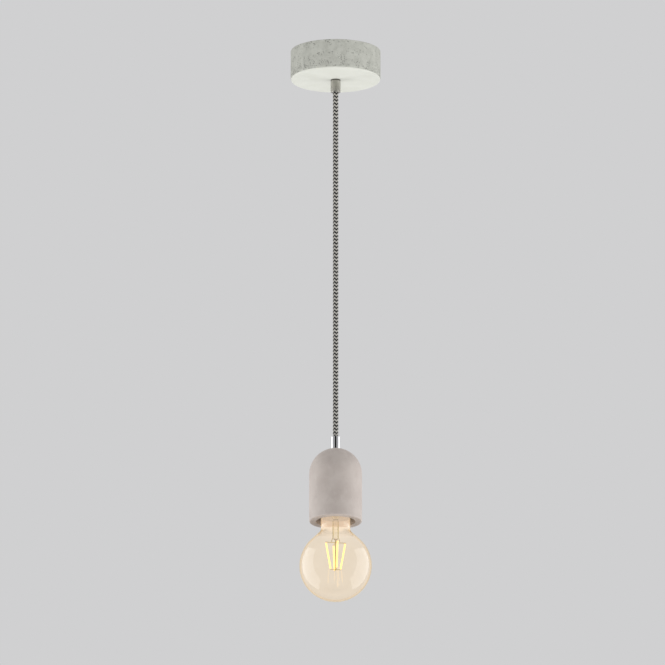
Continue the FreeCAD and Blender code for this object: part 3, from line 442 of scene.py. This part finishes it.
def rough_concrete():
    """Dry-cast concrete: greenish grey with a sandy face, small pits that crowd towards
    the lower edge, darkened with painted shade, and a few pale specks of aggregate."""
    f = Finish("rough_concrete")
    where = f.place()
    clouds = f.noise(where, 7.0)
    sand = f.noise(where, 0.7, 4.0)
    tone = f.blend(f.span(clouds, 0.32, 0.68), srgb(177, 178, 170), srgb(189, 190, 182))
    tone = f.blend(f.span(sand, 0.48, 0.72, 0.0, 0.35), tone, srgb(158, 159, 152))
    tone = f.blend(f.span(sand, 0.30, 0.44, 0.30, 0.0), tone, srgb(206, 208, 200))
    low = f.span(f.height(), -31.0, -14.0, 0.13, 0.0)
    patches = f.math("ADD", f.noise(where, 6.0, 2.0), low)
    pit = f.cells(where, 1.7)
    pits = f.math("MULTIPLY", f.span(pit, 0.20, 0.42, 1.0, 0.0), f.span(patches, 0.50, 0.60))
    # painted shade: the pits are darkened in colour for the shade inside them
    tone = f.blend(f.math("MULTIPLY", pits, 0.75), tone, srgb(112, 113, 107))
    speck = f.cells(where, 2.9)
    tone = f.blend(f.span(speck, 0.06, 0.15, 0.55, 0.0), tone, srgb(214, 215, 208))
    f.colour(tone)
    f.set(roughness=0.93, specular_ior_level=0.25)
    face = f.bump(sand, 0.20)
    f.bump(f.math("SUBTRACT", 1.0, pits), 0.35, face)
    return f.material


def smooth_concrete():
    """Fine cast concrete with a warm grey, cloudy face and very small pinholes, darkened with painted shade.
    """
    f = Finish("smooth_concrete")
    where = f.place()
    clouds = f.noise(where, 16.0, 4.0, 0.5)
    patches = f.noise(f.place((1, 1, 0.6)), 5.0, 3.0)
    grain = f.noise(where, 0.45, 3.0)
    tone = f.blend(f.span(clouds, 0.30, 0.70), srgb(181, 171, 165), srgb(191, 182, 176))
    tone = f.blend(f.span(patches, 0.55, 0.75, 0.0, 0.30), tone, srgb(199, 191, 186))
    tone = f.blend(f.span(patches, 0.28, 0.44, 0.28, 0.0), tone, srgb(171, 161, 155))
    hole = f.cells(where, 3.4)
    chosen = f.span(f.noise(where, 10.0, 1.0), 0.55, 0.66)
    holes = f.math("MULTIPLY", f.span(hole, 0.05, 0.10, 1.0, 0.0), chosen)
    # painted shade: the pinholes are darkened in colour for the shade inside them
    tone = f.blend(f.math("MULTIPLY", holes, 0.6), tone, srgb(118, 111, 107))
    f.colour(tone)
    f.rough(f.span(clouds, 0.3, 0.7, 0.62, 0.74))
    f.set(specular_ior_level=0.35)
    face = f.bump(grain, 0.035)
    f.bump(f.math("SUBTRACT", 1.0, holes), 0.12, face)
    return f.material


def painted(name, pale, shade, roughness, peel=0.012):
    """Sprayed paint: an even colour with a little drift and a fine orange peel."""
    f = Finish(name)
    where = f.place()
    f.colour(f.blend(f.span(f.noise(where, 20.0), 0.3, 0.7), shade, pale))
    f.set(roughness=roughness, specular_ior_level=0.4)
    f.bump(f.noise(where, 0.8, 2.0), peel)
    return f.material


def metal(name, colour, shade, roughness, grain=(1, 1, 1), scratch=0.004):
    """Plated or drawn metal: metallic, with a slight tone drift and fine tool marks
    stretched along the grain."""
    f = Finish(name)
    where = f.place()
    marks = f.noise(f.place(grain), 0.35, 4.0)
    f.colour(f.blend(f.span(f.noise(where, 6.0), 0.35, 0.65), shade, colour))
    f.rough(f.span(marks, 0.3, 0.7, roughness * 0.8, roughness * 1.25))
    f.set(metallic=1.0)
    f.bump(marks, scratch)
    return f.material


def satin_nickel():
    """Satin nickel, with painted shade at the root, standing in for the canopy's shadow where the grip meets
    it.
    """
    f = Finish("satin_nickel")
    where = f.place()
    marks = f.noise(f.place((1, 1, 12)), 0.35, 4.0)
    tone = f.blend(f.span(f.noise(where, 6.0), 0.35, 0.65), srgb(162, 160, 153), srgb(176, 174, 167))
    # painted shade: the grip's colour darkens towards its root, for the canopy's shadow
    f.colour(f.blend(f.span(f.height(), -35.2, -33.8, 0.0, 0.85), tone, srgb(70, 68, 64)))
    f.rough(f.span(marks, 0.3, 0.7, 0.24, 0.38))
    f.set(metallic=1.0)
    f.bump(marks, 0.004)
    return f.material


def moulded(name, colour, shade, roughness, texture=0.02):
    """Moulded plastic or glaze: a slight drift of tone and a fine mould texture."""
    f = Finish(name)
    where = f.place()
    f.colour(f.blend(f.span(f.noise(where, 5.0), 0.35, 0.65), shade, colour))
    f.rough(f.span(f.noise(where, 0.5, 2.0), 0.3, 0.7, roughness * 0.9, min(1.0, roughness * 1.1)))
    f.bump(f.noise(where, 0.3, 2.0), texture)
    return f.material


def earth_insulation():
    """Yellow insulation with two green stripes along the core."""
    f = Finish("earth_core")
    stripe = f.node("ShaderNodeTexWave", {"bands_direction": "DIAGONAL"}, Vector=f.place(), Scale=0.22,
                    Distortion=0.0).outputs[0]
    f.colour(f.blend(f.span(stripe, 0.45, 0.55), srgb(214, 190, 40), srgb(48, 128, 52)))
    f.set(roughness=0.5)
    f.bump(f.noise(f.place(), 0.4), 0.01)
    return f.material


def yarn(name, colour, shade):
    """Braided rayon: a soft sheen and fine threads that run along the yarn, with painted shade in the grooves
    between them.
    """
    f = Finish(name)
    along = f.thread_place((14.0, 0.25, 1))
    threads = f.node("ShaderNodeTexNoise", Vector=along, Scale=1.0, Detail=2.0).outputs[0]
    fuzz = f.noise(f.place(), 0.16, 2.0)
    # painted shade: the yarn is darker where the threads' bump is low, in the grooves between threads
    f.colour(f.blend(f.span(threads, 0.35, 0.65), shade, colour))
    f.set(roughness=0.78, sheen_weight=0.25, sheen_roughness=0.5, specular_ior_level=0.3)
    lines = f.bump(threads, 0.05)
    f.bump(fuzz, 0.03, lines)
    return f.material


def amber_glass():
    """Thin pale amber glass, deeper where the eye looks along it, with a painted glow
    that stands in for the filaments' light, strongest in the neck."""
    f = Finish("amber_glass")
    drift = f.span(f.noise(f.place(), 30.0, 2.0), 0.3, 0.7)
    face = f.blend(drift, (0.955, 0.90, 0.80, 1), (0.97, 0.92, 0.83, 1))
    along = f.node("ShaderNodeLayerWeight", Blend=0.5).outputs["Facing"]
    f.colour(f.blend(f.span(along, 0.60, 0.92), face, (0.93, 0.62, 0.16, 1)))
    f.set(roughness=0.0, ior=1.45, transmission_weight=1.0, emission_color=(1.0, 0.80, 0.63, 1))
    # painted glow: the glass emits a little light of its own, strongest in the neck, for the filaments' light
    painted_neck_glow = f.span(f.height(), -563.0, -549.0, 0.06, 0.15)
    f.tree.links.new(painted_neck_glow, f.shader.inputs["Emission Strength"])
    f.bump(f.noise(f.place(), 14.0, 1.0), 0.03)
    return f.material


def clear_glass():
    """Clear drawn glass for the stem."""
    f = Finish("clear_glass")
    along = f.node("ShaderNodeLayerWeight", Blend=0.5).outputs["Facing"]
    f.colour(f.blend(f.span(along, 0.3, 0.9), (0.97, 0.95, 0.84, 1), (0.80, 0.76, 0.36, 1)))
    f.set(roughness=0.02, ior=1.5, transmission_weight=1.0)
    f.bump(f.noise(f.place(), 8.0), 0.01)
    return f.material


def glowing_phosphor():
    """Yellow silicone over lit chips, brighter in dots along the stick."""
    f = Finish("filament")
    beads = f.noise(f.place((0.6, 0.6, 1)), 1.1, 1.0)
    f.colour(f.blend(f.span(beads, 0.3, 0.7), srgb(246, 190, 60), srgb(255, 214, 110)))
    f.set(roughness=0.45, emission_color=(1.0, 0.70, 0.24, 1), emission_strength=1.6)
    f.bump(beads, 0.05)
    return f.material


def printed_board():
    """Green solder resist with faint copper tracks under it."""
    f = Finish("circuit_board")
    tracks = f.node("ShaderNodeTexBrick", Vector=f.place(), Scale=0.35).outputs["Fac"]
    f.colour(f.blend(tracks, srgb(28, 92, 48), srgb(62, 128, 72)))
    f.set(roughness=0.35)
    f.bump(tracks, 0.03)
    return f.material


ROUGH_CONCRETE = rough_concrete()
SMOOTH_CONCRETE = smooth_concrete()
OFF_WHITE_PAINT = painted("off_white_paint", srgb(219, 220, 212), srgb(214, 215, 206), 0.45)
SATIN_NICKEL = satin_nickel()
CHROME = metal("polished_chrome", srgb(202, 202, 203), srgb(194, 194, 196), 0.04, scratch=0.0004)
ZINC = metal("zinc_plate", srgb(200, 203, 208), srgb(182, 186, 192), 0.34, (12, 1, 1))
BRASS = metal("turned_brass", srgb(222, 184, 108), srgb(204, 164, 88), 0.25, (1, 1, 10))
NICKELLED = metal("nickelled_brass", srgb(214, 211, 202), srgb(200, 197, 188), 0.22, (1, 1, 8))
GILT_WIRE = metal("gilt_wire", srgb(214, 196, 96), srgb(190, 172, 76), 0.25)
BLACK_PLASTIC = moulded("black_plastic", srgb(30, 29, 28), srgb(22, 22, 22), 0.5)
IVORY_PLASTIC = moulded("ivory_plastic", srgb(232, 228, 214), srgb(222, 218, 204), 0.45)
STEATITE = moulded("steatite", srgb(236, 233, 224), srgb(226, 222, 212), 0.3, 0.01)
VITRITE = moulded("vitrite", srgb(16, 16, 22), srgb(10, 10, 14), 0.12, 0.006)
BROWN_CORE = moulded("brown_core", srgb(104, 62, 34), srgb(92, 54, 30), 0.45, 0.008)
BLUE_CORE = moulded("blue_core", srgb(44, 92, 176), srgb(38, 82, 160), 0.45, 0.008)
EARTH_CORE = earth_insulation()
INNER_SHEATH = moulded("inner_sheath", srgb(60, 60, 60), srgb(48, 48, 48), 0.6)
BLACK_YARN = yarn("black_yarn", srgb(30, 29, 30), srgb(16, 15, 16))
WHITE_YARN = yarn("white_yarn", srgb(196, 194, 188), srgb(158, 155, 149))
AMBER_GLASS = amber_glass()
CLEAR_GLASS = clear_glass()
PHOSPHOR = glowing_phosphor()
BOARD = printed_board()

NODE_FINISH = {
    "canopy_ring": ROUGH_CONCRETE, "canopy_plate": OFF_WHITE_PAINT, "mounting_bracket": ZINC,
    "bracket_bush": BRASS, "lock_nut": BRASS, "toothed_washer": ZINC, "canopy_grip": SATIN_NICKEL,
    "canopy_grip_screw": ZINC, "terminal_block": IVORY_PLASTIC, "terminal_clamps": BRASS,
    "terminal_screws": ZINC, "block_screw": ZINC, "earth_screw": BRASS, "earth_lug": NICKELLED,
    "live_lead": BROWN_CORE, "neutral_lead": BLUE_CORE, "earth_lead": EARTH_CORE,
    "cord_tail": INNER_SHEATH, "cord_bend": INNER_SHEATH, "cord": INNER_SHEATH,
    "holder_grip": CHROME, "holder_grip_screw": ZINC, "shell": SMOOTH_CONCRETE,
    "holder_cap": BLACK_PLASTIC, "holder_skirt": BLACK_PLASTIC, "holder_insert": STEATITE,
    "holder_terminal_screws": ZINC, "holder_live_lead": BROWN_CORE, "holder_neutral_lead": BLUE_CORE,
    "centre_contact": BRASS, "side_contact": BRASS, "thread_sleeve": NICKELLED,
    "bulb_tip_contact": NICKELLED, "cap_insulator": VITRITE, "bulb_cap": NICKELLED,
    "bulb_glass": AMBER_GLASS, "bulb_stem": CLEAR_GLASS, "support_rod": GILT_WIRE,
    "cross_wires": GILT_WIRE, "filaments": PHOSPHOR, "lead_wires": GILT_WIRE, "driver_board": BOARD,
}


def wear(piece, material):
    piece.data.materials.clear()
    piece.data.materials.append(material)


def soft_shading(limit):
    """A modifier tree that joins a node's loose triangles and shades it smooth, with
    a crease at each edge that turns by more than limit degrees."""
    tree = bpy.data.node_groups.new("soft_shading", "GeometryNodeTree")
    tree.interface.new_socket("Geometry", in_out="INPUT", socket_type="NodeSocketGeometry")
    tree.interface.new_socket("Geometry", in_out="OUTPUT", socket_type="NodeSocketGeometry")
    start = tree.nodes.new("NodeGroupInput")
    join = tree.nodes.new("GeometryNodeMergeByDistance")
    join.inputs["Distance"].default_value = 0.0001 * MM
    faces = tree.nodes.new("GeometryNodeSetShadeSmooth")
    creases = tree.nodes.new("GeometryNodeSetShadeSmooth")
    creases.domain = "EDGE"
    creases.inputs["Shade Smooth"].default_value = False
    angle = tree.nodes.new("GeometryNodeInputMeshEdgeAngle")
    sharp = tree.nodes.new("ShaderNodeMath")
    sharp.operation = "GREATER_THAN"
    sharp.inputs[1].default_value = math.radians(limit)
    end = tree.nodes.new("NodeGroupOutput")
    tree.links.new(start.outputs[0], join.inputs["Geometry"])
    tree.links.new(join.outputs[0], faces.inputs["Geometry"])
    tree.links.new(faces.outputs[0], creases.inputs["Geometry"])
    tree.links.new(angle.outputs["Unsigned Angle"], sharp.inputs[0])
    tree.links.new(sharp.outputs[0], creases.inputs["Selection"])
    tree.links.new(creases.outputs[0], end.inputs[0])
    return tree


SOFT_SHADING = soft_shading(32)

for node, material in NODE_FINISH.items():
    for piece_slot in frame["nodes"][node].material_slots:
        piece_slot.material = material
    softened = frame["nodes"][node].modifiers.new("soft_shading", "NODES")
    softened.node_group = SOFT_SHADING


# ------------------------------------------------------------------ cord pieces


def add_cord():
    """Core and braid in two straight lengths that meet halfway between the two pivots,
    each length reaching across one of them."""
    hanging_line = route_points([
        (0, 0, LINK_MIDDLE),
        (0, 0, (LINK_MIDDLE + CORD_BOTTOM) / 2),
        (0, 0, CORD_BOTTOM),
    ])
    top_line = route_points([
        (0, 0, CORD_TOP),
        (0, 0, (CORD_TOP + LINK_MIDDLE) / 2),
        (0, 0, LINK_MIDDLE),
    ])
    top = [cord_tube("cord_core_top", top_line)]
    hanging = [cord_tube("cord_core", hanging_line)]
    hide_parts("cord_tail", "cord_bend")
    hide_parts("cord")
    wear(top[0], INNER_SHEATH)
    wear(hanging[0], INNER_SHEATH)
    for tone, carriers, material in (
        ("black", black_carriers(), BLACK_YARN),
        ("white", white_carriers(), WHITE_YARN),
    ):
        top.append(braid(f"braid_{tone}_top", CORD_TOP - 1 * MM, LINK_MIDDLE, carriers))
        hanging.append(braid(f"braid_{tone}", LINK_MIDDLE, BRAID_END, carriers))
        wear(top[-1], material)
        wear(hanging[-1], material)
    for piece in top:
        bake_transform(piece)
    for piece in hanging:
        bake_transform(piece)


add_cord()


# ------------------------------------------------------------------ canopy pieces

RING_WALL = 8 * MM
RING_COLUMNS = 800
PIT_SKIN = 0.9 * MM        # depth of the outer skin that pits may sink
PIT_SIZES = (0.25 * MM, 1.15 * MM)
PLATE_BORE = 5.1 * MM
COLLAR_INSET = 7.7 * MM    # from the plate's edge to the collar
COLLAR_WALL = 1 * MM
PLATE_COLUMNS = 360


def scatter(seed, count, low, high):
    """Random numbers between low and high, the same every run."""
    return np.random.default_rng(seed).uniform(low, high, count)


def pits_on_wall(points, radius, levels, seed, sizes, depth_share):
    """Depth of the casting pits at each wall point: the deepest of round dimples
    depth * (1 - (d / r)^2)^2, with d measured on the surface. The pits lie at the
    given levels, and their sizes lean towards the small end of the range."""
    angle = np.arctan2(points[..., 1], points[..., 0])
    height = points[..., 2]
    depth = np.zeros(angle.shape)
    count = len(levels)
    middles = scatter(seed, count, -math.pi, math.pi)
    radii = scatter(seed + 2, count, 0, 1) ** 2.2 * (sizes[1] - sizes[0]) + sizes[0]
    stretch = scatter(seed + 3, count, 0.7, 1.5)
    for middle, level, size, wide in zip(middles, levels, radii, stretch):
        turn = np.angle(np.exp(1j * (angle - middle)))
        share = ((turn * radius / wide) ** 2 + (height - level) ** 2) / size ** 2
        dimple = depth_share * size * np.clip(1 - share, 0, 1) ** 2
        depth = np.maximum(depth, dimple)
    return depth


def ripple(points, seed, count, wavelength, height):
    """Soft unevenness: a sum of plane waves in random directions."""
    generator = np.random.default_rng(seed)
    total = np.zeros(points.shape[:-1])
    for _ in range(count):
        direction = generator.normal(size=3)
        direction *= 2 * math.pi / (wavelength * generator.uniform(0.7, 1.4) * np.linalg.norm(direction))
        total += np.sin(points @ direction + generator.uniform(0, 2 * math.pi))
    return total * height / math.sqrt(count)


def moved_in(points, sink):
    """The points moved towards the Z axis by sink."""
    radius = np.hypot(points[..., 0], points[..., 1])
    moved = points.copy()
    moved[..., :2] *= ((radius - sink) / np.maximum(radius, 1e-9))[..., None]
    return moved


def add_canopy_ring():
    """The cast ring: an outer wall with real pits, most of them near its lower edge,
    and plain inner faces."""
    low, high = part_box("canopy_ring")
    outside = high[0]
    inside = outside - RING_WALL
    middle = (low[2] + high[2]) / 2
    line = rounded([
        (outside, middle, 0), (outside, low[2], 1.0 * MM), (inside, low[2], 0.4 * MM),
        (inside, high[2], 0.4 * MM), (outside, high[2], 0.6 * MM), (outside, middle, 0),
    ])
    line = divided(line, 0.45 * MM)[:-1]
    wall = line[:, 0] > outside - 1.2 * MM
    line = line[wall | (np.arange(len(line)) % 6 == 0)]
    upper = scatter(12, 170, low[2] + 0.6 * MM, high[2] - 1.0 * MM)
    lower = low[2] + 0.3 * MM + scatter(13, 240, 0, 1) ** 2.4 * 16 * MM

    def cast(points):
        pits = pits_on_wall(points, outside, np.concatenate([upper, lower]), 11,
                            PIT_SIZES, 0.5)
        rough = np.abs(ripple(points, 21, 24, 2.6 * MM, 0.045 * MM))
        on_wall = np.hypot(points[..., 0], points[..., 1]) > outside - PIT_SKIN
        return moved_in(points, np.where(on_wall, pits + rough, 0))

    ring = turned("cast_canopy_ring", line, RING_COLUMNS, shape=cast)
    wear(ring, ROUGH_CONCRETE)
    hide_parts("canopy_ring")
    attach(ring, "canopy")


def add_canopy_plate():
    """The painted steel disc: a rolled outer edge, an upstanding collar inside the
    ring, and the bore that the cord grip screws through."""
    low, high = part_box("canopy_plate")
    edge = high[0]
    seat = bottom_of("canopy_ring")
    bore = PLATE_BORE
    collar = edge - COLLAR_INSET
    inner = collar - COLLAR_WALL
    line = rounded([
        (edge, (low[2] + seat) / 2, 0), (edge, low[2], 0.7 * MM), (bore, low[2], 0.2 * MM),
        (bore, seat, 0.2 * MM), (inner, seat, 0.3 * MM), (inner, high[2], 0.3 * MM),
        (collar, high[2], 0.3 * MM), (collar, seat, 0.3 * MM), (edge, seat, 0.3 * MM),
        (edge, (low[2] + seat) / 2, 0),
    ])
    line = divided(line, 2.5 * MM)[:-1]

    def pressed(points):
        """The pressing leaves the face a few hundredths of a millimetre uneven."""
        moved = points.copy()
        flat = np.abs(points[..., 2] - low[2]) < 0.05 * MM
        moved[..., 2] += np.where(flat, np.abs(ripple(points, 31, 6, 60 * MM, 0.03 * MM)), 0)
        return moved

    plate = turned("painted_canopy_plate", line, PLATE_COLUMNS, shape=pressed)
    wear(plate, OFF_WHITE_PAINT)
    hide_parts("canopy_plate")
    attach(plate, "canopy")


add_canopy_ring()
add_canopy_plate()


# ------------------------------------------------------------------ lamp shell

SHELL_WALL = 8 * MM
SHELL_SEAT = 6.5 * MM      # flat round the grip on the dome's top, radius
SHELL_INNER_SEAT = 9 * MM  # flat inside the dome, radius
SHELL_HOLE = 5.2 * MM
SHELL_COLUMNS = 384
DENT_REACH = 6.5 * MM
DENT_DEPTH = 0.5 * MM


def add_shell():
    """The cast shell: a dome on a straight wall, a rounded rim and a smooth bore.
    Outside it is a little wavy, with pinholes and a shallow dent near the top."""
    low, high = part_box("shell")
    outside = high[0]
    bore = outside - SHELL_WALL
    centre = high[2] - math.sqrt(outside ** 2 - SHELL_SEAT ** 2)
    seat_angle = math.degrees(math.acos(SHELL_SEAT / outside))
    inner_angle = math.degrees(math.acos(SHELL_INNER_SEAT / bore))
    inner_top = centre + math.sqrt(bore ** 2 - SHELL_INNER_SEAT ** 2)
    hole = SHELL_HOLE
    foot = rounded([
        (outside, centre, 0), (outside, low[2], 1.6 * MM), (bore, low[2], 0.9 * MM), (bore, centre, 0),
    ], arc_points=9)
    line = np.vstack([
        arc(0, centre, outside, seat_angle, 0, 60),
        foot[1:-1],
        arc(0, centre, bore, 0, inner_angle, 30),
        [(hole + 0.4 * MM, inner_top), (hole, inner_top), (hole, high[2]), (hole + 0.3 * MM, high[2])],
    ])
    line = divided(line, 0.9 * MM)
    levels = np.concatenate([
        scatter(41, 60, low[2] + 1 * MM, centre), scatter(42, 26, centre, centre + 20 * MM),
    ])

    def cast(points):
        radius = np.hypot(points[..., 0], points[..., 1])
        from_centre = np.hypot(radius, np.maximum(points[..., 2] - centre, 0))
        skin = from_centre > outside - 0.4 * MM
        waves = 0.07 * MM + ripple(points, 51, 10, 26 * MM, 0.05 * MM)
        pinholes = pits_on_wall(points, outside, levels, 61, (0.25 * MM, 0.75 * MM), 0.45)
        dent_middle = np.array([14.0, -16.5, 0]) * MM + (0, 0, centre + 19.5 * MM)
        apart = np.linalg.norm(points - dent_middle, axis=-1)
        dent = DENT_DEPTH * np.clip(1 - (apart / DENT_REACH) ** 2, 0, 1) ** 2
        sink = np.where(skin, np.clip(waves, 0, None) + pinholes + dent, 0)
        away = np.stack([points[..., 0], points[..., 1], np.maximum(points[..., 2] - centre, 0)], -1)
        away /= np.linalg.norm(away, axis=-1, keepdims=True)
        return points - away * sink[..., None]

    shell = turned("cast_lamp_shell", line, SHELL_COLUMNS, shape=cast)
    wear(shell, SMOOTH_CONCRETE)
    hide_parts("shell")
    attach(shell, "pendant")


add_shell()


# ------------------------------------------------------------------ bulb glass

GLASS_THICKNESS = 0.7 * MM
GLASS_SEAT = 13.05 * MM    # radius inside the cap
GLASS_SEAT_LENGTH = 4.6 * MM
NECK_START = 9.7 * MM      # from the glass's top to the full neck
NECK_RADIUS = 16.4 * MM
SHOULDER_RADIUS = 8 * MM   # hollow round between the neck and the globe
SHOULDER_LEAN = 44         # degrees
GLOBE_COLUMNS = 256


def globe_line(offset):
    """Profile of the bulb's skin, set in by offset, from the cap down: a short seat, a
    taper, the neck, a concave blend, a cone and the globe."""
    low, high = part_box("bulb_glass")
    radius = (high[1] - low[1]) / 2
    centre = low[2] + radius
    globe = radius - offset
    neck = NECK_RADIUS - offset
    blend = SHOULDER_RADIUS + offset
    lean = math.radians(SHOULDER_LEAN)
    blend_across = neck + blend
    blend_level = centre + (globe + blend - blend_across * math.sin(lean)) / math.cos(lean)
    seat = GLASS_SEAT - offset
    return np.vstack([
        [(seat, high[2]), (seat, high[2] - GLASS_SEAT_LENGTH), (neck, high[2] - NECK_START)],
        arc(blend_across, blend_level, blend, 180, 270 - SHOULDER_LEAN, 16),
        arc(0, centre, globe, 90 - SHOULDER_LEAN, -90, 120),
    ])


def add_globe():
    """The blown globe: an outer and an inner skin, joined at the neck's end."""
    outer = divided(globe_line(0), 2.0 * MM)
    inner = divided(globe_line(GLASS_THICKNESS), 2.0 * MM)[::-1]
    globe = turned("amber_globe", np.vstack([outer, inner]), GLOBE_COLUMNS)
    wear(globe, AMBER_GLASS)
    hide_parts("bulb_glass")
    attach(globe, "bulb")


add_globe()


# ------------------------------------------------------------------ floor, backdrop and light


def glow(name, place, size, power, aim, glossy=True):
    """A soft box that the camera doesn't see, straight or through glass."""
    data = bpy.data.lights.new(name, "AREA")
    data.shape = "RECTANGLE"
    data.size, data.size_y = size
    data.energy = power
    lamp = bpy.data.objects.new(name, data)
    bpy.context.scene.collection.objects.link(lamp)
    lamp.location = place
    lamp.rotation_euler = (Vector(aim) - Vector(place)).to_track_quat("-Z", "Y").to_euler()
    lamp.visible_camera = False
    lamp.visible_transmission = False
    lamp.visible_glossy = glossy


def add_floor():
    """A wide pale floor well below the lamp."""
    half, level = 6.0, -2.2
    corners = np.array([
        [-half, -half, level], [half, -half, level], [half, half, level], [-half, half, level],
    ])
    floor = link("floor", mesh_from("floor", corners, np.array([[0, 1, 2, 3]])))
    f = Finish("pale_floor")
    f.colour(f.blend(f.noise(f.place(), 60.0), srgb(214, 214, 213), srgb(219, 219, 218)))
    f.set(roughness=0.8)
    wear(floor, f.material)


def add_world():
    """A pale backdrop for the eye, for glossy and for glass rays, and an even soft
    light for everything else."""
    world = bpy.data.worlds.new("studio")
    world.use_nodes = True
    tree = world.node_tree
    tree.nodes.clear()
    seen = tree.nodes.new("ShaderNodeBackground")
    seen.inputs["Color"].default_value = srgb(208, 208, 209)
    lighting = tree.nodes.new("ShaderNodeBackground")
    lighting.inputs["Color"].default_value = (1.0, 1.0, 1.0, 1)
    lighting.inputs["Strength"].default_value = 0.62
    path = tree.nodes.new("ShaderNodeLightPath")
    sees_backdrop = path.outputs["Is Camera Ray"]
    for ray in ("Is Glossy Ray", "Is Transmission Ray"):
        either = tree.nodes.new("ShaderNodeMath")
        either.operation = "MAXIMUM"
        tree.links.new(sees_backdrop, either.inputs[0])
        tree.links.new(path.outputs[ray], either.inputs[1])
        sees_backdrop = either.outputs[0]
    mix = tree.nodes.new("ShaderNodeMixShader")
    tree.links.new(sees_backdrop, mix.inputs[0])
    tree.links.new(lighting.outputs[0], mix.inputs[1])
    tree.links.new(seen.outputs[0], mix.inputs[2])
    output = tree.nodes.new("ShaderNodeOutputWorld")
    tree.links.new(mix.outputs[0], output.inputs[0])
    bpy.context.scene.world = world


def add_dark_card():
    """A dark card in front of the lamp, seen only in polished metal, as its narrow
    dark stripe."""
    wide, low, high, away = 1.1, -0.3, 1.6, -3.2
    corners = np.array([
        [-wide, away, low], [wide, away, low], [wide, away, high], [-wide, away, high],
    ])
    card = link("dark_card", mesh_from("dark_card", corners, np.array([[0, 1, 2, 3]])))
    f = Finish("dark_felt")
    f.colour(f.blend(f.noise(f.place(), 90.0), srgb(24, 24, 24), srgb(34, 34, 34)))
    f.set(roughness=1.0, specular_ior_level=0.0)
    wear(card, f.material)
    for ray in ("camera", "diffuse", "shadow", "transmission"):
        setattr(card, f"visible_{ray}", False)


def add_lights():
    """A tall soft box each side, a broad fill from below and a small one on the
    canopy's front."""
    glow("soft_box_left", (-0.75, 0.16, -0.72), (0.80, 1.5), 6.3, (0, 0.05, -0.72))
    glow("soft_box_right", (0.75, 0.12, -0.72), (0.85, 1.5), 6.6, (0, 0.05, -0.72))
    glow("canopy_fill", (0.05, -0.40, -0.03), (0.5, 0.15), 0.40, (0, 0, -0.02), glossy=False)
    glow("low_fill", (0.2, -0.7, -2.0), (1.6, 1.2), 15, (0, 0, -0.1), glossy=False)


add_floor()
add_world()
add_dark_card()
add_lights()
bpy.context.scene.view_settings.view_transform = "Standard"
